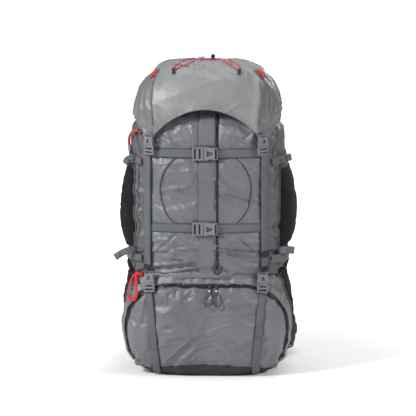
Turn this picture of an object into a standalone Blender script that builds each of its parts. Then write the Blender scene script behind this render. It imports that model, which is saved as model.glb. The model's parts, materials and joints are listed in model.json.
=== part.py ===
"""Hiking backpack: a top-loading trekking pack with a lid, a lower compartment, side pockets and a harness.

The front, the face away from the wearer, looks along -Y. The pack stands on its base at z = 0 and is
centred on x = 0. All lengths are in metres.
"""

import math

import bmesh
import bpy
from mathutils import Matrix, Vector

# Driving dimensions
FRONT_POWER = 3.0            # how square the front half of a section is
BACK_POWER = 4.0             # how square the half against the wearer is
AROUND = 44                  # points round a section of a bag
WALL = 0.004                 # wall of the padded fabric shells
SEWN_ON = 0.0012             # from a bag's surface to what is sewn on it
NARROW_WEB = 0.020           # webbing on the vertical straps
WIDE_WEB = 0.025             # webbing on the horizontal straps
WEB_THICKNESS = 0.0018
STRAP_X = 0.140              # the vertical straps' distance from the middle
UPPER_STRAP_Z = 0.560
LOWER_STRAP_Z = 0.376
FRONT_BUCKLE_X = -0.004
FRONT_STRAP_LIFT = 0.0042
VERTICAL_STRAP_LIFT = 0.0080
SLIDER_LIFT = 0.0046         # middle of a zip slider over the bag, clear of the placket
PULLER_LIFT = 0.0036         # middle of a puller over the middle of its slider
SIDE_STRAP_HEIGHTS = {"upper": 0.542, "lower": 0.303}
PLACKET_X, PLACKET_WIDTH = 0.003, 0.042
ZIP_X = 0.0285
LID_HINGE = Vector((0, 0.130, 0.600))
LID_UNDERSIDE = 0.702
LID_BUCKLE = Vector((STRAP_X, -0.1210, 0.580))
LOWER_BUCKLE = Vector((STRAP_X, -0.1205, 0.238))
SHOULDER_HINGE = Vector((0, 0.1435, 0.563))
HIP_HINGE = Vector((0.118, 0.148, 0.070))
HIP_SPLAY = 0.0145  # the right wing stands out from behind the pack and shows from the front
HANDLE_HINGE = Vector((0, 0.1405, 0.590))
STERNUM = Vector((0, 0.2222, 0.440))
WEBBING_ENDS = (Vector((0.1305, 0.1640, 0.2570)), Vector((0.1500, 0.1160, 0.1850)))

# Profiles: height, half width, depth to the front, depth to the back
BOTTOM_BAG = [
    (0.000, 0.150, 0.098, 0.092),
    (0.030, 0.186, 0.123, 0.108),
    (0.080, 0.204, 0.136, 0.115),
    (0.140, 0.209, 0.140, 0.118),
    (0.200, 0.201, 0.135, 0.118),
    (0.2516, 0.178, 0.117, 0.115),
]
MAIN_BAG = [
    (0.252, 0.172, 0.116, 0.115),
    (0.300, 0.178, 0.124, 0.118),
    (0.400, 0.182, 0.130, 0.118),
    (0.500, 0.182, 0.128, 0.118),
    (0.580, 0.179, 0.122, 0.118),
    (0.640, 0.168, 0.112, 0.112),
    (0.668, 0.140, 0.092, 0.092),
    (0.686, 0.112, 0.074, 0.074),
]
LID = [
    (0.590, 0.184, 0.133, 0.126),
    (0.650, 0.181, 0.133, 0.126),
    (0.698, 0.171, 0.127, 0.123),
    (0.731, 0.158, 0.114, 0.115),
    (0.752, 0.142, 0.096, 0.100),
    (0.766, 0.117, 0.072, 0.078),
    (0.774, 0.080, 0.046, 0.052),
    (0.778, 0.030, 0.018, 0.020),
]

# Colours, with roughness and metallic value
SHELL_GREY = ((0.175, 0.178, 0.186), 0.55, 0.0)
WEB_GREY = ((0.165, 0.172, 0.188), 0.80, 0.0)
BUCKLE_GREY = ((0.130, 0.135, 0.145), 0.40, 0.0)
BLACK_MESH = ((0.018, 0.018, 0.020), 0.90, 0.0)
CHARCOAL = ((0.045, 0.046, 0.050), 0.80, 0.0)
RED = ((0.800, 0.030, 0.030), 0.60, 0.0)
ALUMINIUM = ((0.700, 0.710, 0.720), 0.35, 1.0)
HDPE = ((0.060, 0.060, 0.065), 0.50, 0.0)
ZIP_METAL = ((0.240, 0.240, 0.240), 0.35, 0.8)


def clear_scene():
    for obj in list(bpy.data.objects):
        bpy.data.objects.remove(obj)


def material(name, look):
    """A plain Principled material, made once for each name."""
    found = bpy.data.materials.get(name)
    if found:
        return found
    colour, roughness, metallic = look
    made = bpy.data.materials.new(name)
    made.use_nodes = True
    shader = made.node_tree.nodes["Principled BSDF"]
    shader.inputs["Base Color"].default_value = (*colour, 1)
    shader.inputs["Roughness"].default_value = roughness
    shader.inputs["Metallic"].default_value = metallic
    return made


def new_object(name, mesh, look, pivot=None, smooth=True):
    """Links a mesh as a node. With a pivot, an empty at that point becomes its parent."""
    obj = bpy.data.objects.new(name, mesh)
    bpy.context.scene.collection.objects.link(obj)
    if not mesh.materials:
        mesh.materials.append(material(f"{name}_material", look))
    if smooth:
        mesh.shade_smooth()
        mesh.set_sharp_from_angle(angle=math.radians(40))
    if pivot is not None:
        empty = pivot_at(pivot)
        obj.parent = empty
        obj.matrix_parent_inverse = Matrix.Translation(-empty.location)
    return obj


def pivot_at(point):
    """The empty that stands on a joint's axis at this point, made once for each point."""
    name = "pivot_" + "_".join(f"{1000 * value:.0f}" for value in point)
    empty = bpy.data.objects.get(name)
    if empty is None:
        empty = bpy.data.objects.new(name, None)
        empty.location = point
        bpy.context.scene.collection.objects.link(empty)
    return empty


def mirrored(point, side):
    """The same point on the left of a front view, when side is -1, or on the right, when it is 1."""
    return Vector((side * point.x, point.y, point.z))


# --- Sections and surfaces -------------------------------------------------------------------------------


def profile_at(profile, z):
    """(half width, front depth, back depth) at a height, on a smooth curve through the profile."""
    heights = [row[0] for row in profile]
    z = min(max(z, heights[0]), heights[-1])
    i = max(k for k in range(len(heights) - 1) if heights[k] <= z)
    span = heights[i + 1] - heights[i]
    t = (z - heights[i]) / span

    def slope(k, column):
        low, high = max(k - 1, 0), min(k + 1, len(profile) - 1)
        return (profile[high][column] - profile[low][column]) / (heights[high] - heights[low])

    values = []
    for column in (1, 2, 3):
        start, end = profile[i][column], profile[i + 1][column]
        values.append(
            (2 * t**3 - 3 * t**2 + 1) * start
            + (t**3 - 2 * t**2 + t) * span * slope(i, column)
            + (3 * t**2 - 2 * t**3) * end
            + (t**3 - t**2) * span * slope(i + 1, column)
        )
    return values


def section_point(profile, angle, z, inset=0.0):
    """The point of a section at an angle: 0 is +X, 90 degrees is the back and -90 degrees the front."""
    half_width, front, back = profile_at(profile, z)
    cosine, sine = math.cos(angle), math.sin(angle)
    power, depth = (BACK_POWER, back) if sine > 0 else (FRONT_POWER, front)
    x = (half_width - inset) * math.copysign(abs(cosine) ** (2 / power), cosine)
    y = (depth - inset) * math.copysign(abs(sine) ** (2 / power), sine)
    return Vector((x, y, z))


def outward(profile, point):
    """The unit normal of a profile's surface at a point on it."""
    step = 0.001

    def level(x, y, z):
        half_width, front, back = profile_at(profile, z)
        power, depth = (BACK_POWER, back) if y > 0 else (FRONT_POWER, front)
        return (abs(x) / half_width) ** power + (abs(y) / depth) ** power

    x, y, z = point
    return Vector(
        (
            level(x + step, y, z) - level(x - step, y, z),
            level(x, y + step, z) - level(x, y - step, z),
            level(x, y, z + step) - level(x, y, z - step),
        )
    ).normalized()


def skin(profile, angle, z, lift=0.0):
    """(point, normal) at a height above a profile's surface."""
    point = section_point(profile, angle, z)
    normal = outward(profile, point)
    return point + lift * normal, normal


def front_angle(profile, x, z):
    """The angle at which the front half of a section passes this x."""
    half_width = profile_at(profile, z)[0]
    share = min(abs(x) / half_width, 1.0) ** (FRONT_POWER / 2)
    angle = math.acos(share)
    return -angle if x >= 0 else angle - math.pi


def top_of_lid(x, y):
    """The height of the lid's surface over a point."""
    low, high = 0.66, LID[-1][0]
    for _ in range(40):
        middle = (low + high) / 2
        half_width, front, back = profile_at(LID, middle)
        power, depth = (BACK_POWER, back) if y > 0 else (FRONT_POWER, front)
        inside = (abs(x) / half_width) ** power + (abs(y) / depth) ** power < 1
        low, high = (middle, high) if inside else (low, middle)
    return low


# --- Mesh builders ---------------------------------------------------------------------------------------


def loft(name, rings):
    """A closed mesh through rings of equal length, with a flat face over the first and the last."""
    mesh = bpy.data.meshes.new(name)
    build = bmesh.new()
    rows = [[build.verts.new(point) for point in ring] for ring in rings]
    for lower, upper in zip(rows, rows[1:]):
        for i in range(len(lower)):
            j = (i + 1) % len(lower)
            build.faces.new((lower[i], lower[j], upper[j], upper[i]))
    build.faces.new(rows[0][::-1])
    build.faces.new(rows[-1])
    bmesh.ops.recalc_face_normals(build, faces=build.faces)
    build.to_mesh(mesh)
    build.free()
    return mesh


def angles_round():
    return [2 * math.pi * (i + 0.5) / AROUND for i in range(AROUND)]


def bag_ring(profile, z, inset=0.0):
    return [section_point(profile, angle, z, inset) for angle in angles_round()]


def levels(low, high, count):
    return [low + (high - low) * i / (count - 1) for i in range(count)]


def ribbon(name, stations, width, thickness=WEB_THICKNESS):
    """A flat strap through stations of (point on its inner face, outward normal). Width may be a list."""
    points = [point for point, _ in stations]
    rings = []
    for i, (point, normal) in enumerate(stations):
        along = (points[min(i + 1, len(points) - 1)] - points[max(i - 1, 0)]).normalized()
        side = along.cross(normal).normalized()
        half = (width[i] if isinstance(width, list) else width) / 2
        depth = thickness[i] if isinstance(thickness, list) else thickness
        outer = point + depth * normal
        rings.append([point - half * side, point + half * side, outer + half * side, outer - half * side])
    return loft(name, rings)


def pad(name, profile, angles, heights, bulge, lift, columns=10, rows=9):
    """A soft block on a bag's surface, between two angles and two heights. bulge(u, v) is its thickness."""
    inner, outer = [], []
    for row in range(rows + 1):
        v = row / rows
        z = heights[0] + v * (heights[1] - heights[0])
        inner.append([])
        outer.append([])
        for column in range(columns + 1):
            u = column / columns
            angle = angles[0] + u * (angles[1] - angles[0])
            point, normal = skin(profile, angle, z, lift)
            inner[-1].append(point)
            outer[-1].append(point + bulge(u, v) * normal)
    return slab(name, inner, outer)


def slab(name, inner, outer):
    """A closed mesh between two grids of points of the same size."""
    mesh = bpy.data.meshes.new(name)
    build = bmesh.new()
    low = [[build.verts.new(point) for point in row] for row in inner]
    high = [[build.verts.new(point) for point in row] for row in outer]
    last_row, last_column = len(inner) - 1, len(inner[0]) - 1
    for i in range(last_row):
        for j in range(last_column):
            build.faces.new((high[i][j], high[i][j + 1], high[i + 1][j + 1], high[i + 1][j]))
            build.faces.new((low[i][j], low[i + 1][j], low[i + 1][j + 1], low[i][j + 1]))
    border = [(0, j) for j in range(last_column)]
    border += [(i, last_column) for i in range(last_row)]
    border += [(last_row, j) for j in range(last_column, 0, -1)]
    border += [(i, 0) for i in range(last_row, 0, -1)]
    for (i, j), (k, m) in zip(border, border[1:] + border[:1]):
        build.faces.new((low[i][j], low[k][m], high[k][m], high[i][j]))
    bmesh.ops.recalc_face_normals(build, faces=build.faces)
    build.to_mesh(mesh)
    build.free()
    return mesh


def pillow(top, edge, power=0.5):
    """A thickness that is edge at the rim and rises to top in the middle."""

    def bulge(u, v):
        return edge + (top - edge) * (math.sin(math.pi * u) * math.sin(math.pi * v)) ** power

    return bulge


def extruded(outline, thickness, middle=0.0):
    """A mesh with this outline in the XY plane, its thickness centred on z = middle."""
    mesh = bpy.data.meshes.new("extruded")
    build = bmesh.new()
    face = build.faces.new([build.verts.new((x, y, middle - thickness / 2)) for x, y in outline])
    moved = bmesh.ops.extrude_face_region(build, geom=[face])
    top = [item for item in moved["geom"] if isinstance(item, bmesh.types.BMVert)]
    bmesh.ops.translate(build, verts=top, vec=(0, 0, thickness))
    bmesh.ops.recalc_face_normals(build, faces=build.faces)
    build.to_mesh(mesh)
    build.free()
    return mesh


def rectangle(x, y, width, height):
    return [
        (x - width / 2, y - height / 2),
        (x + width / 2, y - height / 2),
        (x + width / 2, y + height / 2),
        (x - width / 2, y + height / 2),
    ]


def carved(mesh, cutters, bevel=0.0):
    """The mesh less each cutter mesh, its edges first broken by a small bevel."""
    body = bpy.data.objects.new("body", mesh)
    bpy.context.scene.collection.objects.link(body)
    if bevel:
        soften = body.modifiers.new("soften", "BEVEL")
        soften.width = bevel
        soften.segments = 1
        soften.limit_method = "ANGLE"
    helpers = [body]
    for cutter_mesh in cutters:
        cutter = bpy.data.objects.new("cutter", cutter_mesh)
        bpy.context.scene.collection.objects.link(cutter)
        cut = body.modifiers.new("cut", "BOOLEAN")
        cut.operation = "DIFFERENCE"
        cut.object = cutter
        helpers.append(cutter)
    bpy.context.view_layer.update()
    graph = bpy.context.evaluated_depsgraph_get()
    done = bpy.data.meshes.new_from_object(body.evaluated_get(graph))
    for helper in helpers:
        bpy.data.objects.remove(helper)
    return done


# --- Buckles: local Y runs from the male half to the female half, and local Z away from the pack ---------


def buckle_sizes(web):
    return {
        "width": web + 0.008,
        "female_length": 1.30 * web + 0.001,
        "male_length": 1.10 * web + 0.001,
        "female_thickness": 0.22 * web + 0.0042,
        "cavity": 0.20 * web + 0.0016,
        "prong": 0.16 * web,
    }


def female_half(web):
    """The socket: open at y = 0, with side windows for the arms, a window in its face and a webbing slot."""
    size = buckle_sizes(web)
    half, length = size["width"] / 2, size["female_length"]
    neck = web / 2 + 0.002
    outline = [(-half, 0), (half, 0), (half, 0.58 * length), (neck, 0.80 * length)]
    outline += [(neck, length), (-neck, length), (-neck, 0.80 * length), (-half, 0.58 * length)]
    cavity_end = 0.74 * length
    face_window = [(-0.16 * web, 0.46 * length), (0.16 * web, 0.46 * length), (0, 0.24 * length)]
    thickness = size["female_thickness"]
    mouth = rectangle(0, (cavity_end - 0.002) / 2, 2 * half - 0.0032, cavity_end + 0.002)
    cutters = [
        extruded(mouth, size["cavity"]),
        extruded(rectangle(0, 0.42 * length, 3 * half, 0.24 * length), size["cavity"]),
        extruded(face_window, thickness, thickness / 2),
        extruded(rectangle(0, 0.89 * length, web + 0.0006, 0.0030), 2 * thickness),
    ]
    return carved(extruded(outline, thickness), cutters, bevel=0.0010)


def male_half(web):
    """The tongue: a ladder-lock frame below y = 0, and two arms and a guide above it."""
    size = buckle_sizes(web)
    half, length, reach = size["width"] / 2, size["male_length"], 0.66 * size["female_length"]
    arm_out = half - 0.0016 - 0.0010
    arm_in, guide = arm_out - 0.0036, 0.0022
    outline = [(half, -length), (half, -0.0006), (arm_out - 0.0008, -0.0006)]
    outline += [(arm_out - 0.0008, 0.45 * reach), (arm_out, 0.55 * reach), (arm_out, 0.80 * reach)]
    outline += [(arm_in, reach), (arm_in, 0.0015), (guide, 0.0015), (guide, 0.85 * reach)]
    outline += [(-x, y) for x, y in outline[::-1]]
    slots = [rectangle(0, -share * length, web + 0.0006, 0.0040) for share in (0.34, 0.74)]
    return carved(extruded(outline, size["prong"]), [extruded(slot, 2 * size["prong"]) for slot in slots])


def facing(origin, along, normal):
    """The placing whose local Y is along, and whose local Z is as near to normal as it can be."""
    y_axis = along.normalized()
    x_axis = y_axis.cross(normal).normalized()
    z_axis = x_axis.cross(y_axis)
    placing = Matrix((x_axis, y_axis, z_axis)).transposed().to_4x4()
    placing.translation = origin
    return placing


def place(name, mesh, placing):
    obj = bpy.data.objects.new(name, mesh)
    bpy.context.scene.collection.objects.link(obj)
    obj.matrix_world = placing
    return obj


def buckle_pair(name, meshes, origin, along, normal, suffix=""):
    placing = facing(origin, along, normal)
    place(f"{name}_female{suffix}", meshes[0], placing)
    place(f"{name}_male{suffix}", meshes[1], placing)


def lid_buckle_direction():
    """The way the lid's edge starts to move as the lid opens, so that the female half draws straight off."""
    arm = LID_BUCKLE - LID_HINGE
    return Vector((0, arm.z, -arm.y)).normalized()


# --- The pack --------------------------------------------------------------------------------------------


def make_main_bag():
    outer = [bag_ring(MAIN_BAG, z) for z in levels(MAIN_BAG[0][0], MAIN_BAG[-1][0], 13)]
    inner = [bag_ring(MAIN_BAG, z, WALL) for z in levels(MAIN_BAG[0][0], MAIN_BAG[-1][0], 13)]
    mesh = bpy.data.meshes.new("main_bag")
    build = bmesh.new()
    rows = [[build.verts.new(point) for point in ring] for ring in outer + inner[::-1]]
    for lower, upper in zip(rows, rows[1:] + rows[:1]):
        for i in range(AROUND):
            j = (i + 1) % AROUND
            build.faces.new((lower[i], lower[j], upper[j], upper[i]))
    bmesh.ops.recalc_face_normals(build, faces=build.faces)
    build.to_mesh(mesh)
    build.free()
    new_object("main_bag", mesh, SHELL_GREY)


def make_bottom_bag():
    low, high = BOTTOM_BAG[0][0], BOTTOM_BAG[-1][0]
    outer = [bag_ring(BOTTOM_BAG, z) for z in (low, 0.010, 0.030, 0.055, 0.090, 0.140, 0.190, 0.222, high)]
    inner = [bag_ring(BOTTOM_BAG, z, WALL) for z in (high, 0.190, 0.140, 0.080, 0.030, low + WALL)]
    new_object("bottom_bag", loft("bottom_bag", outer + inner), SHELL_GREY)


def lid_edge(angle):
    """The height of the lid's lower edge: an arch over the front, lowest at the two buckles."""
    x = abs(section_point(LID, angle, 0.62).x)
    if math.sin(angle) > 0:
        return 0.606 + 0.026 * abs(math.cos(angle)) ** 2
    if x < STRAP_X:
        return 0.597 + 0.070 * (1 - (x / STRAP_X) ** 2) ** 0.8
    share = min(1.0, (x - STRAP_X) / (profile_at(LID, 0.62)[0] - STRAP_X))
    return 0.597 + 0.035 * share**0.7


def make_lid():
    angles = angles_round()
    rings = []
    for share in (0.0, 0.6, 1.0):
        z_of = [LID_UNDERSIDE + share * (lid_edge(angle) - LID_UNDERSIDE) for angle in angles]
        rings.append([section_point(LID, a, z, WALL) for a, z in zip(angles, z_of)])
    for share in (0.0, 0.25, 0.5, 0.75):
        z_of = [lid_edge(angle) + share * (LID[3][0] - lid_edge(angle)) for angle in angles]
        rings.append([section_point(LID, a, z) for a, z in zip(angles, z_of)])
    rings += [bag_ring(LID, row[0]) for row in LID[3:]]
    new_object("lid", loft("lid", rings), SHELL_GREY, LID_HINGE)


def lid_cord_route():
    """The bow-tie of elastic cord on the lid: from the cord lock round the left hook, and round the right."""
    plan = [
        (0.006, 0.010), (-0.010, 0.012), (-0.034, 0.004), (-0.060, -0.030), (-0.077, -0.066),
        (-0.081, -0.078), (-0.075, -0.081), (-0.055, -0.064), (-0.025, -0.030), (0.004, -0.012),
        (0.020, -0.011), (0.034, -0.030), (0.056, -0.062), (0.074, -0.081), (0.082, -0.080),
        (0.081, -0.068), (0.066, -0.034), (0.044, 0.002), (0.028, 0.012), (0.016, 0.012),
    ]
    return [Vector((x, y, top_of_lid(x, y) + 0.0030)) for x, y in plan]


def smooth_points(points, steps):
    """More points on a Catmull-Rom curve through the given ones."""
    padded = [2 * points[0] - points[1], *points, 2 * points[-1] - points[-2]]
    made = []
    for a, b, c, d in zip(padded, padded[1:], padded[2:], padded[3:]):
        for k in range(steps):
            t = k / steps
            bend, twist = 2 * a - 5 * b + 4 * c - d, 3 * b - a - 3 * c + d
            made.append(0.5 * (2 * b + (c - a) * t + bend * t**2 + twist * t**3))
    return made + [points[-1]]


def tube(name, points, radius, look, pivot=None):
    curve = bpy.data.curves.new(name, "CURVE")
    curve.dimensions = "3D"
    curve.bevel_depth = radius
    curve.bevel_resolution = 1
    curve.use_fill_caps = True
    spline = curve.splines.new("POLY")
    spline.points.add(len(points) - 1)
    for place_of, point in zip(spline.points, points):
        place_of.co = (*point, 1)
    curve.materials.append(material(f"{name}_material", look))
    obj = bpy.data.objects.new(name, curve)
    bpy.context.scene.collection.objects.link(obj)
    if pivot is not None:
        obj.parent = pivot_at(pivot)
        obj.matrix_parent_inverse = Matrix.Translation(-pivot)
    return obj


def make_lid_cord():
    tube("lid_cord", smooth_points(lid_cord_route(), 3), 0.0014, RED, LID_HINGE)


def cylinder(radius, low, high, count=12):
    turns = levels(0, 2 * math.pi, count + 1)[:-1]
    rings = [[Vector((radius * math.cos(a), radius * math.sin(a), z)) for a in turns] for z in (low, high)]
    return loft("cylinder", rings)


def make_cord_lock():
    """A barrel lying on the cord, with the sprung button that stands out of its end."""
    seat = Vector((0.0125, 0.0, top_of_lid(0.0125, 0) + 0.0098))
    lying = Matrix.Translation(seat) @ Matrix.Rotation(math.radians(-90), 4, "X")
    barrel = cylinder(0.0050, -0.008, 0.008)
    hollow = cylinder(0.0036, -0.001, 0.012)
    for mesh in (barrel, hollow):
        mesh.transform(lying)
    new_object("cord_lock", carved(barrel, [hollow]), BUCKLE_GREY, LID_HINGE)
    button = cylinder(0.0032, 0.0035, 0.0125)
    button.transform(lying)
    new_object("cord_lock_button", button, BUCKLE_GREY, seat)


def make_pockets():
    for side, name in ((-1, "left"), (1, "right")):

        def angle(degrees):
            return math.radians(degrees) if side > 0 else math.pi - math.radians(degrees)

        span = (angle(-40), angle(62))
        full = pillow(0.034, 0.004, 0.6)
        pocket = pad("side_pocket", MAIN_BAG, span, (0.325, 0.522), full, SEWN_ON, 14, 9)
        new_object(f"side_pocket_{name}", pocket, BLACK_MESH)
        span = (angle(-20), angle(55))
        flat = pillow(0.010, 0.002)
        bottle = pad("bottle_pocket", BOTTOM_BAG, span, (0.030, 0.232), flat, SEWN_ON, 10, 8)
        new_object(f"bottle_pocket_{name}", bottle, BLACK_MESH)


def web_on(profile, route, lift):
    """Stations for a ribbon that follows (angle, height) pairs over a profile."""
    return [skin(profile, angle, z, lift) for angle, z in route]


def make_front_pieces():
    heights = levels(0.262, 0.640, 14)
    stations = web_on(MAIN_BAG, [(front_angle(MAIN_BAG, PLACKET_X, z), z) for z in heights], SEWN_ON)
    new_object("front_placket", ribbon("front_placket", stations, PLACKET_WIDTH, 0.0014), SHELL_GREY)
    for height, name in ((UPPER_STRAP_Z, "upper"), (LOWER_STRAP_Z, "lower")):
        left, right = (-0.150, FRONT_BUCKLE_X - 0.010), (FRONT_BUCKLE_X + 0.032, 0.150)
        for ends, side in ((left, "left"), (right, "right")):
            route = [(front_angle(MAIN_BAG, x, height), height) for x in levels(*ends, 10)]
            strap = ribbon("front_strap", web_on(MAIN_BAG, route, FRONT_STRAP_LIFT), WIDE_WEB)
            new_object(f"front_strap_{name}_{side}", strap, WEB_GREY)


def make_vertical_straps():
    for side, name in ((-1, "left"), (1, "right")):
        x = side * STRAP_X
        route = [(front_angle(MAIN_BAG, x, z), z) for z in levels(0.272, 0.576, 14)]
        strap = ribbon("vertical_strap", web_on(MAIN_BAG, route, VERTICAL_STRAP_LIFT), NARROW_WEB)
        new_object(f"vertical_strap_{name}", strap, WEB_GREY)
        route = []
        for z in levels(0.008, 0.224, 12):
            inward = side * (STRAP_X - 0.020 * (1 - z / 0.224))
            route.append((front_angle(BOTTOM_BAG, inward, z), z))
        strap = ribbon("lower_strap", web_on(BOTTOM_BAG, route, 0.0030), NARROW_WEB)
        new_object(f"lower_strap_{name}", strap, WEB_GREY)


def make_side_straps():
    for side, name in ((-1, "left"), (1, "right")):
        for level_name, z in SIDE_STRAP_HEIGHTS.items():
            degrees = levels(-38, 62, 12)
            angles = [math.radians(d) if side > 0 else math.pi - math.radians(d) for d in degrees]
            strap = ribbon("side_strap", web_on(MAIN_BAG, [(a, z) for a in angles], 0.0030), NARROW_WEB)
            new_object(f"side_strap_{level_name}_{name}", strap, WEB_GREY)


def make_buckles():
    narrow, wide = [
        (female_half(web), male_half(web)) for web in (NARROW_WEB, WIDE_WEB)
    ]
    for mesh in (*narrow, *wide):
        mesh.materials.clear()
        mesh.materials.append(material("buckle_material", BUCKLE_GREY))
    for side, name in ((-1, "left"), (1, "right")):
        origin = mirrored(LID_BUCKLE, side)
        _, normal = skin(MAIN_BAG, front_angle(MAIN_BAG, origin.x, origin.z), origin.z)
        buckle_pair("lid_buckle", narrow, origin, lid_buckle_direction(), normal, f"_{name}")
        origin = mirrored(LOWER_BUCKLE, side)
        _, normal = skin(BOTTOM_BAG, front_angle(BOTTOM_BAG, origin.x, 0.215), 0.215)
        along = Vector((0, 0.20, 1))
        buckle_pair("lower_buckle", narrow, origin, along, normal, f"_{name}")
    for z, name in ((UPPER_STRAP_Z, "upper"), (LOWER_STRAP_Z, "lower")):
        point, normal = skin(MAIN_BAG, front_angle(MAIN_BAG, FRONT_BUCKLE_X, z), z, 0.0120)
        buckle_pair(f"front_buckle_{name}", wide, point, Vector((1, 0, 0)), normal)
    buckle_pair("sternum_buckle", narrow, STERNUM, Vector((1, 0, 0)), Vector((0, 1, 0)))
    for side, mesh, name in ((-1, wide[1], "hip_buckle_male"), (1, wide[0], "hip_buckle_female")):
        along = Vector((1, 0, 0))
        place(name, mesh, facing(Vector((side * 0.0300, 0.3376, 0.051)), along, Vector((0, 1, 0))))


def zip_slider():
    """The body of a zip slider: wide where the two rows of teeth part and narrow where they close."""
    outline = [(-0.0030, -0.0055), (0.0030, -0.0055), (0.0044, 0.0015), (0.0044, 0.0055)]
    outline += [(-x, y) for x, y in outline[::-1]][:2]
    return extruded(outline, 0.0036)


def cord_puller(length):
    """A doubled cord that hangs from a slider, open in the middle, hung from y = 0."""
    half, cord = 0.0048, 0.0024
    outline = [(-cord, 0), (-half, -0.30 * length), (-half, -0.85 * length), (-cord, -length)]
    outline += [(-x, y) for x, y in outline[::-1]]
    hole = rectangle(0, -0.60 * length, 2 * (half - cord), 0.44 * length)
    return carved(extruded(outline, cord), [extruded(hole, 4 * cord)])


def ring_puller():
    """A round cord ring, hung from y = 0."""
    outer, cord = 0.0125, 0.0026
    circle = [(outer * math.sin(a), outer * math.cos(a) - outer) for a in levels(0, 2 * math.pi, 17)[:-1]]
    hole = [(0.62 * x, 0.62 * (y + outer) - outer) for x, y in circle]
    return carved(extruded(circle, cord), [extruded(hole, 4 * cord)])


def make_zip(name, profile, x, z, puller, suffix=""):
    """A slider that rides just above the bag, and its puller, which hinges on the slider's face."""
    point, normal = skin(profile, front_angle(profile, x, z), z, SLIDER_LIFT)
    normal = Vector((0, normal.y, normal.z)).normalized()
    up = normal.cross(Vector((1, 0, 0)))
    place(f"{name}_slider{suffix}", zip_slider(), facing(point, up, normal))
    hook = point + PULLER_LIFT * normal - 0.0020 * up
    hang = up if up.y > 0 else Vector((0, 0, 1))
    place(f"{name}_pull{suffix}", puller, facing(hook, hang, Vector((0, -1, 0))))


def make_zips():
    make_zip("front_zip", MAIN_BAG, ZIP_X, 0.288, ring_puller())
    for side, name in ((-1, "_left"), (1, "_right")):
        make_zip("bottom_zip", BOTTOM_BAG, 0.018 + 0.008 * side, 0.228, cord_puller(0.048), name)
    for obj in [obj for obj in bpy.data.objects if "_zip_" in obj.name]:
        obj.data.materials.append(material(f"{obj.name}_material", ZIP_METAL))


def make_loops():
    """The red ice-axe loop that hangs at the left, and the grab handle at the top of the back."""
    plan = [(0, 0.030), (-0.010, 0.016), (-0.017, -0.012), (-0.015, -0.030), (-0.006, -0.038)]
    plan += [(0.004, -0.036), (0.010, -0.024), (0.008, -0.002), (0.003, 0.016)]
    angle = front_angle(BOTTOM_BAG, -0.176, 0.226)
    centre, normal = skin(BOTTOM_BAG, angle, 0.226, 0.017)
    placing = facing(centre, Vector((0.10, 0, 1)), normal)
    inner = [placing @ Vector((x, y, 0)) for x, y in plan]
    ring = smooth_points(inner, 2)
    axis = placing.col[2].to_3d()
    half = 0.0045
    rings = []
    for i, point in enumerate(ring):
        along = (ring[min(i + 1, len(ring) - 1)] - ring[max(i - 1, 0)]).normalized()
        side = along.cross(axis)
        rings.append([point + side * 0.0009 - axis * half, point + side * 0.0009 + axis * half,
                      point - side * 0.0009 + axis * half, point - side * 0.0009 - axis * half])
    new_object("ice_axe_loop", loft("ice_axe_loop", rings), RED)
    stations = []
    for turn in levels(0, math.pi, 13):
        out = Vector((-math.cos(turn), 0.72 * math.sin(turn), 0))
        stations.append((HANDLE_HINGE + 0.040 * out, out.normalized()))
    new_object("grab_handle", ribbon("grab_handle", stations, 0.018, 0.0040), WEB_GREY, HANDLE_HINGE)


# --- The back and the harness ----------------------------------------------------------------------------


def block(low, high, rows=1, columns=1):
    """A rectangular block, its two broad faces across Y, divided so that it can be curved."""
    grids = []
    for y in (low[1], high[1]):
        grids.append([[Vector((x, y, z)) for x in levels(low[0], high[0], columns + 1)]
                      for z in levels(low[2], high[2], rows + 1)])
    return slab("block", *grids)


def make_back():
    new_object("frame_sheet", block((-0.108, 0.1190, 0.060), (0.108, 0.1205, 0.584)), HDPE, smooth=False)
    stay = block((-0.0125, 0.1210, 0.065), (0.0125, 0.1240, 0.580))
    new_object("frame_stay", stay, ALUMINIUM, smooth=False)

    def back_padding(u, v):
        """Thin over the shoulder blades and thick where it bears on the small of the back."""
        lumbar = 0.016 * math.sin(math.pi * u) * math.exp(-(((v - 0.15) / 0.14) ** 2))
        return 0.0070 + 0.0050 * (math.sin(math.pi * u) * math.sin(math.pi * v)) ** 0.5 + lumbar

    panel = cushion((-0.111, 0.1246, 0.045), (0.111, 0, 0.590), back_padding, 12, 16)
    new_object("back_panel", panel, CHARCOAL)


def cushion(low, high, bulge, columns, rows):
    """A pad with a flat front at y = low.y, whose thickness towards the wearer is bulge(u, v)."""
    flat, crowned = [], []
    for row in range(rows + 1):
        z = low[2] + (high[2] - low[2]) * row / rows
        flat.append([])
        crowned.append([])
        for column in range(columns + 1):
            x = low[0] + (high[0] - low[0]) * column / columns
            flat[-1].append(Vector((x, low[1], z)))
            crowned[-1].append(Vector((x, low[1] + bulge(column / columns, row / rows), z)))
    return slab("cushion", flat, crowned)


def shoulder_route():
    return smooth_points(
        [
            Vector((0.056, 0.1430, 0.566)),
            Vector((0.060, 0.1720, 0.550)),
            Vector((0.068, 0.1950, 0.500)),
            Vector((0.084, 0.2040, 0.440)),
            Vector((0.100, 0.1960, 0.370)),
            Vector((0.116, 0.1800, 0.310)),
            Vector((0.130, 0.1640, 0.262)),
        ],
        2,
    )


def outward_across(points, across):
    """Normals of a route in the plane square to across, on the side away from the pack."""
    normals = []
    for i in range(len(points)):
        along = points[min(i + 1, len(points) - 1)] - points[max(i - 1, 0)]
        normals.append(along.cross(across).normalized())
    return normals


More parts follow.
